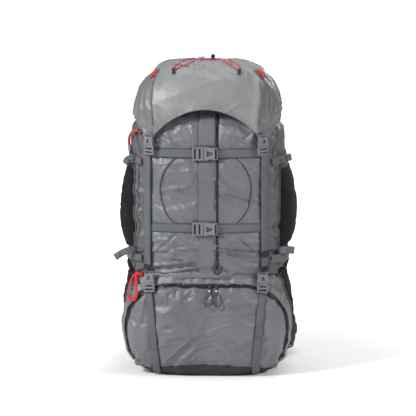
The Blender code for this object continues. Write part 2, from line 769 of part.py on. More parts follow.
def make_harness():
    route = shoulder_route()
    normals = outward_across(route, Vector((-1, 0, 0)))
    for side, name in ((-1, "left"), (1, "right")):
        points = [mirrored(point, side) for point in route]
        stations = list(zip(points, normals))
        strap = ribbon("shoulder_strap", stations, levels(0.062, 0.046, 13), levels(0.011, 0.009, 13))
        new_object(f"shoulder_strap_{name}", strap, CHARCOAL, SHOULDER_HINGE)
        top, anchor = (mirrored(end, side) for end in WEBBING_ENDS)
        lower = [top.lerp(anchor, share) for share in levels(0, 1, 4)]
        normal = outward_across(lower, Vector((-1, 0, 0)))
        web = ribbon("shoulder_webbing", list(zip(lower, normal)), NARROW_WEB)
        new_object(f"shoulder_webbing_{name}", web, WEB_GREY)
        start, end = (-0.0860, -0.012) if side < 0 else (0.031, 0.0860)
        stations = [(Vector((x, 0.2160, STERNUM.z)), Vector((0, -1, 0))) for x in levels(start, end, 5)]
        sternum = ribbon("sternum_strap", stations, NARROW_WEB, -WEB_THICKNESS)
        new_object(f"sternum_strap_{name}", sternum, WEB_GREY, SHOULDER_HINGE)


def hip_route(splay):
    """The line of a wing's inner face, which stands out by splay where the wing is furthest from the pack."""
    return smooth_points(
        [
            Vector((0.121, 0.1480, 0.078)),
            Vector((0.150 + 0.1 * splay, 0.1520, 0.072)),
            Vector((0.174 + 0.6 * splay, 0.1700, 0.066)),
            Vector((0.189 + splay, 0.2050, 0.062)),
            Vector((0.189 + splay, 0.2500, 0.058)),
            Vector((0.172 + 0.9 * splay, 0.2880, 0.056)),
        ],
        2,
    )


def make_hip_belt():
    count = len(hip_route(0))
    heights = [0.112, 0.112, 0.110, 0.106, 0.102, 0.099, 0.096, 0.091, 0.084, 0.072, 0.052]
    depths = [0.012] + [0.015] * (count - 3) + [0.012, 0.008]
    for side, name, splay in ((-1, "left", 0.0), (1, "right", HIP_SPLAY)):
        pivot = mirrored(HIP_HINGE, side)
        end = smooth_points([Vector((0.1700 + 0.9 * splay, 0.2910, 0.056)), Vector((0.150 + 0.5 * splay, 0.3150, 0.054)),
                             Vector((0.118, 0.3290, 0.052)), Vector((0.0660, 0.3320, 0.051))], 3)
        for route_of, node, widths, thickness, look in (
            (hip_route(splay), "hip_wing", heights, depths, CHARCOAL),
            (end, "hip_webbing", WIDE_WEB, WEB_THICKNESS, WEB_GREY),
        ):
            normals = outward_across(route_of, Vector((0, 0, 1)))
            points = [mirrored(point, side) for point in route_of]
            normals = [mirrored(normal, side) for normal in normals]
            stations = list(zip(points, normals))
            new_object(f"{node}_{name}", ribbon(node, stations, widths, thickness), look, pivot)


def main():
    clear_scene()
    make_main_bag()
    make_bottom_bag()
    make_lid()
    make_lid_cord()
    make_cord_lock()
    make_pockets()
    make_front_pieces()
    make_vertical_straps()
    make_side_straps()
    make_buckles()
    make_zips()
    make_loops()
    make_back()
    make_harness()
    make_hip_belt()


main()
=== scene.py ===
"""The looks of the hiking backpack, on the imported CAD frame: cloth, webbing, zips, padding, floor, light, camera."""

import json
import math

import bmesh
import bpy
import numpy as np
from mathutils import Matrix, Vector

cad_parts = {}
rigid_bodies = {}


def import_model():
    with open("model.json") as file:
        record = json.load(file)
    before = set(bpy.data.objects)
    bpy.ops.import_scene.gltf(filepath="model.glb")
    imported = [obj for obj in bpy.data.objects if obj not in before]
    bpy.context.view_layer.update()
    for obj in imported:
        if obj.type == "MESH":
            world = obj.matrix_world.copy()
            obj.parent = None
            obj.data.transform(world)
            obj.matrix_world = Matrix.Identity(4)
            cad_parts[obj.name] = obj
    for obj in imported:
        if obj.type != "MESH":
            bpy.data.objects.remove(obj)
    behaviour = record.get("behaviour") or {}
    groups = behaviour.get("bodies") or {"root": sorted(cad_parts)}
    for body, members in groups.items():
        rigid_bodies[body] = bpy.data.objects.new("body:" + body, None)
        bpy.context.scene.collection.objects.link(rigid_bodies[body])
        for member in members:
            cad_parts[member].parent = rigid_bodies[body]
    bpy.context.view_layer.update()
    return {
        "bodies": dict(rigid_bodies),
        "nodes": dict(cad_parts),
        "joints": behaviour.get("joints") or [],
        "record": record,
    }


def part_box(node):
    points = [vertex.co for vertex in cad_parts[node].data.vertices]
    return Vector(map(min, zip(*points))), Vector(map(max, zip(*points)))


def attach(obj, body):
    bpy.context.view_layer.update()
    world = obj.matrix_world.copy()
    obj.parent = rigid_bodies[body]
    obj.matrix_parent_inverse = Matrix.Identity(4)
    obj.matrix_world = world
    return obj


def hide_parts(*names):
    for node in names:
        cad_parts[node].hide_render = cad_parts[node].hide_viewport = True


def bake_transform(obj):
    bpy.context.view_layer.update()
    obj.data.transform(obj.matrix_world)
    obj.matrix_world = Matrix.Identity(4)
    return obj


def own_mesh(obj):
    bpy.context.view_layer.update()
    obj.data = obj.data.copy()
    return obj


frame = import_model()

# --- The shape that the cloth covers: the same sections as the CAD model, in metres --------------------------
FRONT_POWER, BACK_POWER = 3.0, 4.0
BOTTOM_BAG = [
    (0.000, 0.150, 0.098, 0.092),
    (0.030, 0.186, 0.123, 0.108),
    (0.080, 0.204, 0.136, 0.115),
    (0.140, 0.209, 0.140, 0.118),
    (0.200, 0.201, 0.135, 0.118),
    (0.2516, 0.178, 0.117, 0.115),
]
MAIN_BAG = [
    (0.252, 0.172, 0.116, 0.115),
    (0.300, 0.178, 0.124, 0.118),
    (0.400, 0.182, 0.130, 0.118),
    (0.500, 0.182, 0.128, 0.118),
    (0.580, 0.179, 0.122, 0.118),
    (0.640, 0.168, 0.112, 0.112),
    (0.668, 0.140, 0.092, 0.092),
    (0.686, 0.112, 0.074, 0.074),
]
LID = [
    (0.590, 0.184, 0.133, 0.126),
    (0.650, 0.181, 0.133, 0.126),
    (0.698, 0.171, 0.127, 0.123),
    (0.731, 0.158, 0.114, 0.115),
    (0.752, 0.142, 0.096, 0.100),
    (0.766, 0.117, 0.072, 0.078),
    (0.774, 0.080, 0.046, 0.052),
    (0.778, 0.030, 0.018, 0.020),
]
STRAP_X, UPPER_STRAP_Z, LOWER_STRAP_Z = 0.140, 0.560, 0.376
BUCKLE_X = -0.004
UNDERSIDE = 0.702
FRONT_ZIP_X, PLACKET_X = 0.0285, 0.003
RING_Z, RING_RADIUS = 0.468, 0.107
CORNER_SEAMS = {
    "upper": [(0.122, 0.617), (0.090, 0.596), (0.058, 0.572)],
    "lower": [(0.066, 0.366), (0.098, 0.340), (0.128, 0.308)],
}
STITCH_PITCH, STITCH_LENGTH, STITCH_RADIUS = 0.0032, 0.0023, 0.00030
NARROW, WIDE, THICK = 0.020, 0.025, 0.0018
PACK = "pack"
SIDES = ((-1, "left"), (1, "right"))


def unit(vectors):
    """The same vectors, each at length 1."""
    return vectors / np.maximum(np.linalg.norm(vectors, axis=-1, keepdims=True), 1e-12)


def run_lengths(points):
    """How far along a line each of its points lies."""
    return np.concatenate([[0], np.cumsum(np.linalg.norm(np.diff(points, axis=0), axis=1))])


def profile_rows(profile, z):
    """(half width, front depth, back depth) at heights, as arrays, on a smooth curve through the profile."""
    table = np.array(profile)
    heights = table[:, 0]
    z = np.clip(np.asarray(z, float), heights[0], heights[-1])
    i = np.clip(np.searchsorted(heights, z, side="right") - 1, 0, len(heights) - 2)
    span = heights[i + 1] - heights[i]
    t = (z - heights[i]) / span
    count = len(heights)
    low = np.maximum(np.arange(count) - 1, 0)
    high = np.minimum(np.arange(count) + 1, count - 1)
    rows = []
    for column in (1, 2, 3):
        values = table[:, column]
        slope = (values[high] - values[low]) / (heights[high] - heights[low])
        rows.append(
            (2 * t**3 - 3 * t**2 + 1) * values[i]
            + (t**3 - 2 * t**2 + t) * span * slope[i]
            + (3 * t**2 - 2 * t**3) * values[i + 1]
            + (t**3 - t**2) * span * slope[i + 1]
        )
    return rows


def surface_points(profile, angle, z, inset=0.0):
    angle, z = np.broadcast_arrays(np.asarray(angle, float), np.asarray(z, float))
    half, front, back = profile_rows(profile, z)
    cosine, sine = np.cos(angle), np.sin(angle)
    power = np.where(sine > 0, BACK_POWER, FRONT_POWER)
    depth = np.where(sine > 0, back, front)
    x = (half - inset) * np.sign(cosine) * np.abs(cosine) ** (2 / power)
    y = (depth - inset) * np.sign(sine) * np.abs(sine) ** (2 / power)
    return np.stack([x, y, z], -1)


def surface_normals(profile, points):
    def level(p):
        half, front, back = profile_rows(profile, p[..., 2])
        power = np.where(p[..., 1] > 0, BACK_POWER, FRONT_POWER)
        depth = np.where(p[..., 1] > 0, back, front)
        return (np.abs(p[..., 0]) / half) ** power + (np.abs(p[..., 1]) / depth) ** power

    step = 0.001
    found = [level(points + step * np.eye(3)[k]) - level(points - step * np.eye(3)[k]) for k in range(3)]
    normal = np.stack(found, -1)
    return unit(normal)


def skin(profile, angle, z, lift=0.0):
    """(points, normals) over a profile's surface."""
    points = surface_points(profile, angle, z)
    normals = surface_normals(profile, points)
    return points + np.asarray(lift)[..., None] * normals, normals


def front_angle(profile, x, z):
    half = profile_rows(profile, z)[0]
    angle = np.arccos(np.minimum(np.abs(x) / half, 1.0) ** (FRONT_POWER / 2))
    return np.where(np.asarray(x) >= 0, -angle, angle - math.pi)


def on_front(profile, x, z, lift=0.0):
    x, z = np.broadcast_arrays(np.asarray(x, float), np.asarray(z, float))
    return skin(profile, front_angle(profile, x, z), z, lift)


def top_of_lid(x, y):
    low, high = 0.66, LID[-1][0]
    for _ in range(40):
        middle = (low + high) / 2
        half, front, back = (float(v) for v in profile_rows(LID, middle))
        power, depth = (BACK_POWER, back) if y > 0 else (FRONT_POWER, front)
        inside = (abs(x) / half) ** power + (abs(y) / depth) ** power < 1
        low, high = (middle, high) if inside else (low, middle)
    return low


# --- Noise for wrinkles ---------------------------------------------------------------------------------------


def lattice(i, j, k, seed):
    """A value from 0 to 1 for each whole-number point."""
    with np.errstate(over="ignore"):
        h = (i * 374761393 + j * 668265263 + k * 2147483647 + seed * 1274126177) & 0xFFFFFFFF
        h = ((h ^ (h >> 13)) * 1103515245) & 0xFFFFFFFF
        h = ((h ^ (h >> 16)) * 2654435761) & 0xFFFFFFFF
    return ((h ^ (h >> 15)) & 0xFFFFFF) / 0xFFFFFF


def smooth_noise(points, seed=0):
    """Smooth noise from -1 to 1, one value for each point."""
    cell = np.floor(points).astype(np.int64)
    t = points - cell
    t = t * t * t * (t * (6 * t - 15) + 10)
    total = 0.0
    for dx in (0, 1):
        for dy in (0, 1):
            for dz in (0, 1):
                weight = (
                    (t[..., 0] if dx else 1 - t[..., 0])
                    * (t[..., 1] if dy else 1 - t[..., 1])
                    * (t[..., 2] if dz else 1 - t[..., 2])
                )
                total = total + weight * lattice(cell[..., 0] + dx, cell[..., 1] + dy, cell[..., 2] + dz, seed)
    return 2 * total - 1


def folds(points, scale, seed, sharp=1.6, warp=0.35):
    """Cloth folds from 0 to 1: narrow ridges between broad hollows. scale is cells per metre along each axis."""
    p = points * np.asarray(scale)
    bend = np.stack([smooth_noise(p * 0.6, seed + k) for k in (11, 12, 13)], -1)
    value = 1 - np.abs(smooth_noise(p + warp * bend * 2, seed))
    return np.clip(value, 0, 1) ** (2 * sharp)


def streaks(p, tilt, length, width, seed, sharp=1.5):
    """Long narrow folds, 0 to 1: tilt is their angle from level, in degrees, as seen from the front."""
    across = np.arctan2(p[..., 0], -p[..., 1]) * 0.17
    c, s = math.cos(math.radians(tilt)), math.sin(math.radians(tilt))
    run, off = c * across + s * p[..., 2], -s * across + c * p[..., 2]
    return folds(np.stack([run / length, off / width, 0.37 + 0 * run], -1), (1, 1, 1), seed, sharp, 0.22)


def noise_along(distance, seed, offset=0):
    """Smooth noise along a line, at these distances."""
    return smooth_noise(np.stack([distance, 0 * distance, 0 * distance + offset], -1), seed)


def near(value, centre, width):
    """1 at the centre, falling smoothly to 0 further off."""
    return np.exp(-(((value - centre) / width) ** 2))


# --- Meshes ---------------------------------------------------------------------------------------------------


def add_piece(name, mesh, material, body=PACK, smooth=True, replaces=(), subdivide=0):
    obj = bpy.data.objects.new(name, mesh)
    bpy.context.scene.collection.objects.link(obj)
    for entry in material if isinstance(material, (list, tuple)) else [material]:
        mesh.materials.append(entry)
    if smooth:
        mesh.shade_smooth()
    if subdivide:
        modifier = obj.modifiers.new("smooth", "SUBSURF")
        modifier.levels = modifier.render_levels = subdivide
    if body:
        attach(obj, body)
    if replaces:
        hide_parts(*replaces)
    return obj


def mesh_of(name, vertices, faces, uvs=None):
    mesh = bpy.data.meshes.new(name)
    mesh.from_pydata([tuple(map(float, v)) for v in vertices], [], [tuple(map(int, f)) for f in faces])
    if uvs is not None:
        layer = mesh.uv_layers.new(name="cloth")
        index = np.zeros(len(mesh.loops), np.int32)
        mesh.loops.foreach_get("vertex_index", index)
        layer.data.foreach_set("uv", np.asarray(uvs, np.float32)[index].ravel())
    mesh.validate()
    return mesh


def grid_faces(rows, columns, wrap):
    i = np.arange(rows - 1)[:, None]
    j = np.arange(columns if wrap else columns - 1)[None, :]
    k = (j + 1) % columns
    return np.stack([i * columns + j, i * columns + k, (i + 1) * columns + k, (i + 1) * columns + j], -1).reshape(-1, 4)


def grid_uvs(points):
    """Lengths along and up a grid of points, in metres."""
    along = np.linalg.norm(np.diff(points, axis=1), axis=-1)
    up = np.linalg.norm(np.diff(points, axis=0), axis=-1)
    u = np.concatenate([np.zeros((points.shape[0], 1)), np.cumsum(along, 1)], 1)
    v = np.concatenate([np.zeros((1, points.shape[1])), np.cumsum(up, 0)], 0)
    u = u - u.mean(1, keepdims=True)
    return np.stack([u, v], -1).reshape(-1, 2)


def grid_normals(points, wrap):
    if wrap:
        du = np.roll(points, -1, 1) - np.roll(points, 1, 1)
    else:
        du = np.gradient(points, axis=1)
    dv = np.gradient(points, axis=0)
    normal = np.cross(du, dv)
    return unit(normal)


def slab_mesh(name, points, normals, thickness, wrap=False):
    """A closed sheet: the grid of points outside, and the same grid moved in by the thickness."""
    rows, columns = points.shape[:2]
    inner = points - np.asarray(thickness)[..., None] * normals
    vertices = np.concatenate([points.reshape(-1, 3), inner.reshape(-1, 3)])
    outer_faces = grid_faces(rows, columns, wrap)
    count = rows * columns
    faces = [outer_faces, outer_faces[:, ::-1] + count]
    borders = []
    last = columns if wrap else columns - 1
    for row, flip in ((0, True), (rows - 1, False)):
        a = row * columns + np.arange(last)
        b = row * columns + (np.arange(last) + 1) % columns
        quad = np.stack([a, b, b + count, a + count], -1)
        borders.append(quad if flip else quad[:, ::-1])
    if not wrap:
        for column, flip in ((0, False), (columns - 1, True)):
            a = np.arange(rows - 1) * columns + column
            b = a + columns
            quad = np.stack([a, b, b + count, a + count], -1)
            borders.append(quad if flip else quad[:, ::-1])
    faces = np.concatenate(faces + [quad[:, ::-1] for quad in borders])
    uvs = grid_uvs(points)
    mesh = mesh_of(name, vertices, faces, np.concatenate([uvs, uvs]))
    fix_normals(mesh)
    return mesh


def fix_normals(mesh, merge=0.0):
    """Turns every face outwards, after joining points closer than merge."""
    build = bmesh.new()
    build.from_mesh(mesh)
    if merge:
        bmesh.ops.remove_doubles(build, verts=build.verts, dist=merge)
    bmesh.ops.recalc_face_normals(build, faces=build.faces)
    build.to_mesh(mesh)
    build.free()


def capped_mesh(name, rings, uvs=None):
    """A closed tube through rings of points, with a flat cap at each end."""
    count, sides = rings.shape[:2]
    faces = [tuple(face) for face in grid_faces(count, sides, True)]
    faces += [tuple(range(sides)), tuple(range((count - 1) * sides, count * sides))]
    mesh = mesh_of(name, rings.reshape(-1, 3), faces, uvs)
    fix_normals(mesh)
    return mesh


def vectors_of(items, attribute):
    """A vector attribute of each vertex or face, as rows."""
    values = np.zeros(len(items) * 3)
    items.foreach_get(attribute, values)
    return values.reshape(-1, 3)


def paint(mesh, index):
    """Gives each face the material of this index."""
    mesh.polygons.foreach_set("material_index", np.asarray(index).astype(np.int32))


def smooth_path(points, steps):
    """Points on a Catmull-Rom curve through the given ones."""
    p = np.asarray(points, float)
    padded = np.concatenate([[2 * p[0] - p[1]], p, [2 * p[-1] - p[-2]]])
    made = []
    for a, b, c, d in zip(padded, padded[1:], padded[2:], padded[3:]):
        for t in np.arange(steps) / steps:
            made.append(0.5 * (2 * b + (c - a) * t + (2 * a - 5 * b + 4 * c - d) * t**2 + (3 * b - a - 3 * c + d) * t**3))
    return np.array(made + [p[-1]])


def interpolated(at, distance, rows):
    """Rows of three values, read off at these distances."""
    return np.stack([np.interp(at, distance, rows[:, k]) for k in range(3)], -1)


def resampled(points, spacing):
    """The same line with points at even spacing."""
    p = np.asarray(points, float)
    length = run_lengths(p)
    count = max(int(round(length[-1] / spacing)), 1) + 1
    at = np.linspace(0, length[-1], count)
    return interpolated(at, length, p)


def directions(points):
    return unit(np.gradient(np.asarray(points, float), axis=0))


def web_mesh(name, points, normals, width, thickness=THICK, across=7, ripple=0.0, seed=0):
    """Webbing along a line on its inner face: slightly crowned, with rounded selvedges."""
    points, normals = np.asarray(points, float), np.asarray(normals, float)
    along = directions(points)
    side = unit(np.cross(along, normals))
    normals = np.cross(side, along)
    width = np.broadcast_to(np.asarray(width, float), (len(points),))
    share = np.linspace(-1, 1, across)
    edge = np.sqrt(np.maximum(1 - np.abs(share) ** 6, 0.0))
    top = thickness * (0.5 + 0.5 * edge) + 0.25 * thickness * (1 - share**2)
    low = thickness * (0.5 - 0.5 * edge)
    share = np.concatenate([share, share[-2:0:-1]])
    height = np.concatenate([top, low[-2:0:-1]])
    length = run_lengths(points)
    rise = ripple * smooth_noise(np.stack([length * 40, length * 0 + seed, length * 0], -1), seed)
    offset = 0.5 * width[:, None] * share
    rings = points[:, None] + offset[..., None] * side[:, None]
    rings = rings + (height + rise[:, None])[..., None] * normals[:, None]
    uvs = np.stack([np.broadcast_to(length[:, None], offset.shape), offset], -1).reshape(-1, 2)
    return capped_mesh(name, rings, uvs)


def tube_mesh(name, points, radius, sides=8, closed=False):
    """A cord along a line, with round ends and lengths along it as UVs."""
    p = np.asarray(points, float)
    if closed:
        along = directions(np.concatenate([p[-2:], p, p[:2]]))[2:-2]
    else:
        along = directions(p)
    radius = np.broadcast_to(np.asarray(radius, float), (len(p),))
    start = np.cross(along[0], [0.3, 0.5, 0.8])
    up = start / np.linalg.norm(start)
    rings, uvs = [], []
    length = run_lengths(p)
    for k in range(len(p)):
        up = up - up.dot(along[k]) * along[k]
        up /= np.linalg.norm(up)
        side = np.cross(along[k], up)
        turns = np.linspace(0, 2 * math.pi, sides, endpoint=False)
        rings.append([p[k] + radius[k] * (math.cos(a) * up + math.sin(a) * side) for a in turns])
        uvs += [(length[k], a * radius[k]) for a in turns]
    if not closed:
        return capped_mesh(name, np.array(rings), uvs)
    last = (len(p) - 1) * sides
    faces = [tuple(f) for f in grid_faces(len(p), sides, True)]
    faces += [(last + j, last + (j + 1) % sides, (j + 1) % sides, j) for j in range(sides)]
    mesh = mesh_of(name, np.array(rings).reshape(-1, 3), faces, uvs)
    fix_normals(mesh)
    return mesh


def joined(name, meshes):
    """One mesh holding all of these."""
    vertices, faces, uvs, start = [], [], [], 0
    for mesh in meshes:
        vertices.append(vectors_of(mesh.vertices, "co"))
        faces += [tuple(start + i for i in p.vertices) for p in mesh.polygons]
        layer = mesh.uv_layers.active
        uv = np.zeros((len(mesh.vertices), 2))
        if layer:
            for loop, entry in zip(mesh.loops, layer.data):
                uv[loop.vertex_index] = entry.uv
        uvs.append(uv)
        start += len(mesh.vertices)
    return mesh_of(name, np.concatenate(vertices), faces, np.concatenate(uvs))


def stitch_mesh(name, lines):
    """Rows of thread: each line is (points, normals), and each stitch a small flattened bead along it."""
    vertices, faces = [], []
    for points, normals in lines:
        p = np.asarray(points, float)
        n = np.asarray(normals, float)
        distance = run_lengths(p)
        at = np.arange(STITCH_PITCH / 2, distance[-1], STITCH_PITCH)
        centre = interpolated(at, distance, p)
        normal = unit(interpolated(at, distance, n))
        ahead = interpolated(at + STITCH_PITCH / 2, distance, p)
        along = unit(ahead - interpolated(at - STITCH_PITCH / 2, distance, p))
        side = np.cross(along, normal)
        for c, a, s, m in zip(centre, along, side, normal):
            start = len(vertices)
            vertices.append(c - a * STITCH_LENGTH / 2 - m * STITCH_RADIUS * 0.6)
            for share in (-0.28, 0.28):
                for u, w in ((1, 0.2), (0, 1.1), (-1, 0.2), (0, -0.9)):
                    vertices.append(c + a * STITCH_LENGTH * share + s * STITCH_RADIUS * u + m * STITCH_RADIUS * w)
            vertices.append(c + a * STITCH_LENGTH / 2 - m * STITCH_RADIUS * 0.6)
            faces += [(start, start + 1 + (k + 1) % 4, start + 1 + k) for k in range(4)]
            faces += [(start + 1 + k, start + 1 + (k + 1) % 4, start + 5 + (k + 1) % 4,
                       start + 5 + k) for k in range(4)]
            faces += [(start + 9, start + 5 + k, start + 5 + (k + 1) % 4) for k in range(4)]
    mesh = mesh_of(name, vertices, faces)
    fix_normals(mesh)
    return mesh


# --- Materials ------------------------------------------------------------------------------------------------


class Shader:
    """A Principled material and short ways to wire nodes into it."""

    def __init__(self, name, roughness=0.6, **sockets):
        self.material = bpy.data.materials.new(name)
        self.material.use_nodes = True
        self.tree = self.material.node_tree
        self.principled = self.tree.nodes["Principled BSDF"]
        self.principled.inputs["Roughness"].default_value = roughness
        for socket, value in sockets.items():
            self.principled.inputs[socket.replace("_", " ")].default_value = value
        self.position = self.node("ShaderNodeTexCoord").outputs["Object"]

    def node(self, kind, **settings):
        made = self.tree.nodes.new(kind)
        for key, value in settings.items():
            setattr(made, key, value)
        return made

    def link(self, value, socket):
        if isinstance(value, bpy.types.NodeSocket):
            self.tree.links.new(value, socket)
        else:
            socket.default_value = value

    def math(self, operation, a, b=0.0):
        made = self.node("ShaderNodeMath", operation=operation)
        self.link(a, made.inputs[0])
        self.link(b, made.inputs[1])
        return made.outputs[0]

    def times(self, a, b):
        return self.math("MULTIPLY", a, b)

    def plus(self, a, b):
        return self.math("ADD", a, b)

    def uv(self):
        made = self.node("ShaderNodeSeparateXYZ")
        self.link(self.node("ShaderNodeUVMap", uv_map="cloth").outputs[0], made.inputs[0])
        return made.outputs["X"], made.outputs["Y"]

    def noise(self, scale, detail=3.0, roughness=0.55, stretch=(1, 1, 1), distortion=0.0):
        mapping = self.node("ShaderNodeMapping")
        self.link(self.position, mapping.inputs["Vector"])
        mapping.inputs["Scale"].default_value = stretch
        made = self.node("ShaderNodeTexNoise")
        self.link(mapping.outputs[0], made.inputs["Vector"])
        for socket, value in (("Scale", scale), ("Detail", detail), ("Roughness", roughness),
                              ("Distortion", distortion)):
            made.inputs[socket].default_value = value
        return made.outputs["Fac"]

    def ramp(self, value, *stops):
        made = self.node("ShaderNodeValToRGB")
        self.link(value, made.inputs[0])
        while len(made.color_ramp.elements) < len(stops):
            made.color_ramp.elements.new(0.5)
        for element, (at, colour) in zip(made.color_ramp.elements, stops):
            element.position = at
            element.color = (*colour, 1) if len(colour) == 3 else colour
        return made.outputs[0]

    def grey(self, value, *stops):
        return self.ramp(value, *[(at, (level,) * 3) for at, level in stops])

    def colour(self, value):
        self.link(value, self.principled.inputs["Base Color"])

    def tinted(self, factor, low, high):
        made = self.node("ShaderNodeMix", data_type="RGBA")
        self.link(factor, made.inputs["Factor"])
        for socket, value in (("A", low), ("B", high)):
            self.link((*value, 1) if isinstance(value, tuple) else value, made.inputs[socket])
        return made.outputs["Result"]

    def rough(self, value):
        self.link(value, self.principled.inputs["Roughness"])

    def bump(self, *layers):
        """Each layer is (height, distance in metres, strength)."""
        normal = None
        for height, distance, strength in layers:
            made = self.node("ShaderNodeBump")
            made.inputs["Distance"].default_value = distance
            made.inputs["Strength"].default_value = strength
            self.link(height, made.inputs["Height"])
            if normal is not None:
                self.link(normal, made.inputs["Normal"])
            normal = made.outputs[0]
        self.link(normal, self.principled.inputs["Normal"])


def shade(colour, share):
    """The colour lightened or darkened, kept within 1."""
    return tuple(min(c * share, 1) for c in colour)


def wave(shader, along, period):
    """0 to 1 and back over each period of a length."""
    turns = shader.times(along, 2 * math.pi / period)
    return shader.plus(shader.times(shader.math("SINE", turns), 0.5), 0.5)


def shell_cloth(name, colour, grid=0.0060, sheen=0.06, roughness=0.40, specular=0.62):
    """Coated nylon: a fine plain weave with a ripstop grid, faint crumpling, pale specks of dust at random, a satin
    sheen.
    """
    s = Shader(name, Sheen_Weight=sheen, Sheen_Roughness=0.45, Specular_IOR_Level=specular)
    u, v = s.uv()
    weave = s.times(wave(s, u, 0.0009), wave(s, v, 0.0009))
    lines = s.math("MAXIMUM", s.math("POWER", wave(s, u, grid), 24.0), s.math("POWER", wave(s, v, grid), 24.0))
    crumple = s.noise(34, 6, 0.62, distortion=0.5)
    cloud = s.noise(5.5, 4)
    dust = s.noise(90, 3)
    dark = shade(colour, 0.80)
    light = shade(colour, 1.14)
    base = s.tinted(s.grey(cloud, (0.30, 0.0), (0.70, 1.0)), dark, light)
    base = s.tinted(s.times(lines, 0.16), base, shade(colour, 0.62))
    base = s.tinted(s.times(s.grey(dust, (0.55, 0.0), (0.80, 1.0)), 0.12), base, shade(colour, 1.5))
    s.colour(base)
    s.rough(s.plus(roughness - 0.10, s.times(crumple, 0.22)))
    s.bump((crumple, 0.0028, 0.60), (s.noise(160, 4, 0.6), 0.0006, 0.35), (weave, 0.00012, 0.5), (lines, 0.00018, 0.5))
    return s.material


def webbing_cloth(name, colour, rib=0.0022):
    """Woven webbing: herringbone ribs along it and cross picks, with their low parts painted darker as painted shade
    and their tops lighter as painted highlight, thicker selvedges, worn lighter in places.
    """
    s = Shader(name, Sheen_Weight=0.06, Sheen_Roughness=0.5, Specular_IOR_Level=0.30)
    u, v = s.uv()
    zigzag = s.plus(u, s.times(s.math("PINGPONG", v, rib), 0.9))
    picks = wave(s, zigzag, 0.0013)
    ribs = wave(s, v, rib)
    worn = s.noise(26, 4)
    height = s.plus(s.times(picks, 0.5), s.times(ribs, 0.5))
    # The weave's height also sets its colour: painted shade in its low parts and painted highlight on its raised ribs
    # and picks.
    base = s.tinted(height, shade(colour, 0.62), shade(colour, 1.22))
    base = s.tinted(s.times(s.grey(worn, (0.5, 0.0), (0.8, 1.0)), 0.3), base, shade(colour, 1.5))
    s.colour(base)
    s.rough(s.plus(0.62, s.times(picks, 0.15)))
    s.bump((height, 0.0005, 0.8), (worn, 0.0008, 0.3))
    return s.material


def mesh_cloth(name, colour, cell=0.0032):
    """Stretch or spacer mesh: rows of small holes, painted near black as painted shade for the dark seen through them,
    between knitted bars, in a staggered pattern.
    """
    s = Shader(name, Sheen_Weight=0.01, Sheen_Roughness=0.4, Specular_IOR_Level=0.14)
    u, v = s.uv()
    a = wave(s, s.plus(u, v), cell)
    b = wave(s, s.math("SUBTRACT", u, v), cell)
    bars = s.math("MAXIMUM", s.math("POWER", a, 2.0), s.math("POWER", b, 2.0))
    fuzz = s.noise(60, 4)
    # The holes are painted near black (painted shade) and the bars lighter.
    base = s.tinted(bars, shade(colour, 0.25), shade(colour, 1.5))
    base = s.tinted(s.times(fuzz, 0.35), base, shade(colour, 0.8))
    s.colour(base)
    s.rough(s.plus(0.65, s.times(fuzz, 0.2)))
    s.bump((bars, 0.0009, 0.9), (fuzz, 0.0015, 0.3))
    return s.material


def braid_cord(name, colour, fleck):
    """Braided cord: crossed strands with the grooves between them painted darker as painted shade, and a fleck of a
    second colour.
    """
    s = Shader(name, Sheen_Weight=0.15, Specular_IOR_Level=0.4, roughness=0.55)
    u, v = s.uv()
    strand = 0.0034
    a = wave(s, s.plus(u, v), strand)
    b = wave(s, s.math("SUBTRACT", u, v), strand)
    strands = s.math("MAXIMUM", a, b)
    # Painted shade in the grooves between the strands: they go down to 0.45 of the colour.
    base = s.tinted(s.math("POWER", strands, 2.0), shade(colour, 0.45), colour)
    base = s.tinted(s.math("GREATER_THAN", s.times(a, b), 0.80), base, fleck)
    s.colour(base)
    s.bump((strands, 0.0004, 0.9), (s.noise(220, 2), 0.0002, 0.4))
    return s.material


def moulded_plastic(name, colour, roughness=0.38):
    """Injection-moulded acetal: fine spark-eroded grain, faint flow marks and paler scuffs scattered at random."""
    s = Shader(name, Specular_IOR_Level=0.5)
    grain = s.noise(1400, 2)
    flow = s.noise(60, 3, distortion=1.0)
    scuff = s.noise(260, 5, 0.7, stretch=(1, 1, 0.25))
    base = s.tinted(flow, shade(colour, 0.88), shade(colour, 1.12))
    base = s.tinted(s.times(s.grey(scuff, (0.60, 0.0), (0.72, 1.0)), 0.35), base, shade(colour, 1.9))
    s.colour(base)
    s.rough(s.plus(roughness - 0.08, s.times(scuff, 0.22)))
    s.bump((grain, 0.00008, 0.6), (scuff, 0.00008, 0.3))
    return s.material


def coated_metal(name, colour, metallic=0.85, roughness=0.32):
    s = Shader(name, Metallic=metallic)
    brushed = s.noise(500, 3, stretch=(1, 1, 0.08))
    worn = s.noise(180, 5, 0.65)
    s.colour(s.tinted(s.grey(worn, (0.5, 0.0), (0.75, 1.0)), colour, shade(colour, 1.6)))
    s.rough(s.plus(roughness - 0.08, s.times(brushed, 0.2)))
    s.bump((brushed, 0.00006, 0.5))
    return s.material


def sheet_plastic(name, colour):
    s = Shader(name, Specular_IOR_Level=0.4)
    grain = s.noise(320, 4, 0.6)
    s.colour(s.tinted(grain, shade(colour, 0.8), shade(colour, 1.25)))
    s.rough(s.plus(0.42, s.times(grain, 0.2)))
    s.bump((grain, 0.00015, 0.5))
    return s.material


def thread(name, colour):
    s = Shader(name, roughness=0.5, Sheen_Weight=0.1)
    twist = s.noise(1800, 2)
    s.colour(s.tinted(twist, shade(colour, 0.6), shade(colour, 1.3)))
    s.bump((twist, 0.0001, 0.6))
    return s.material


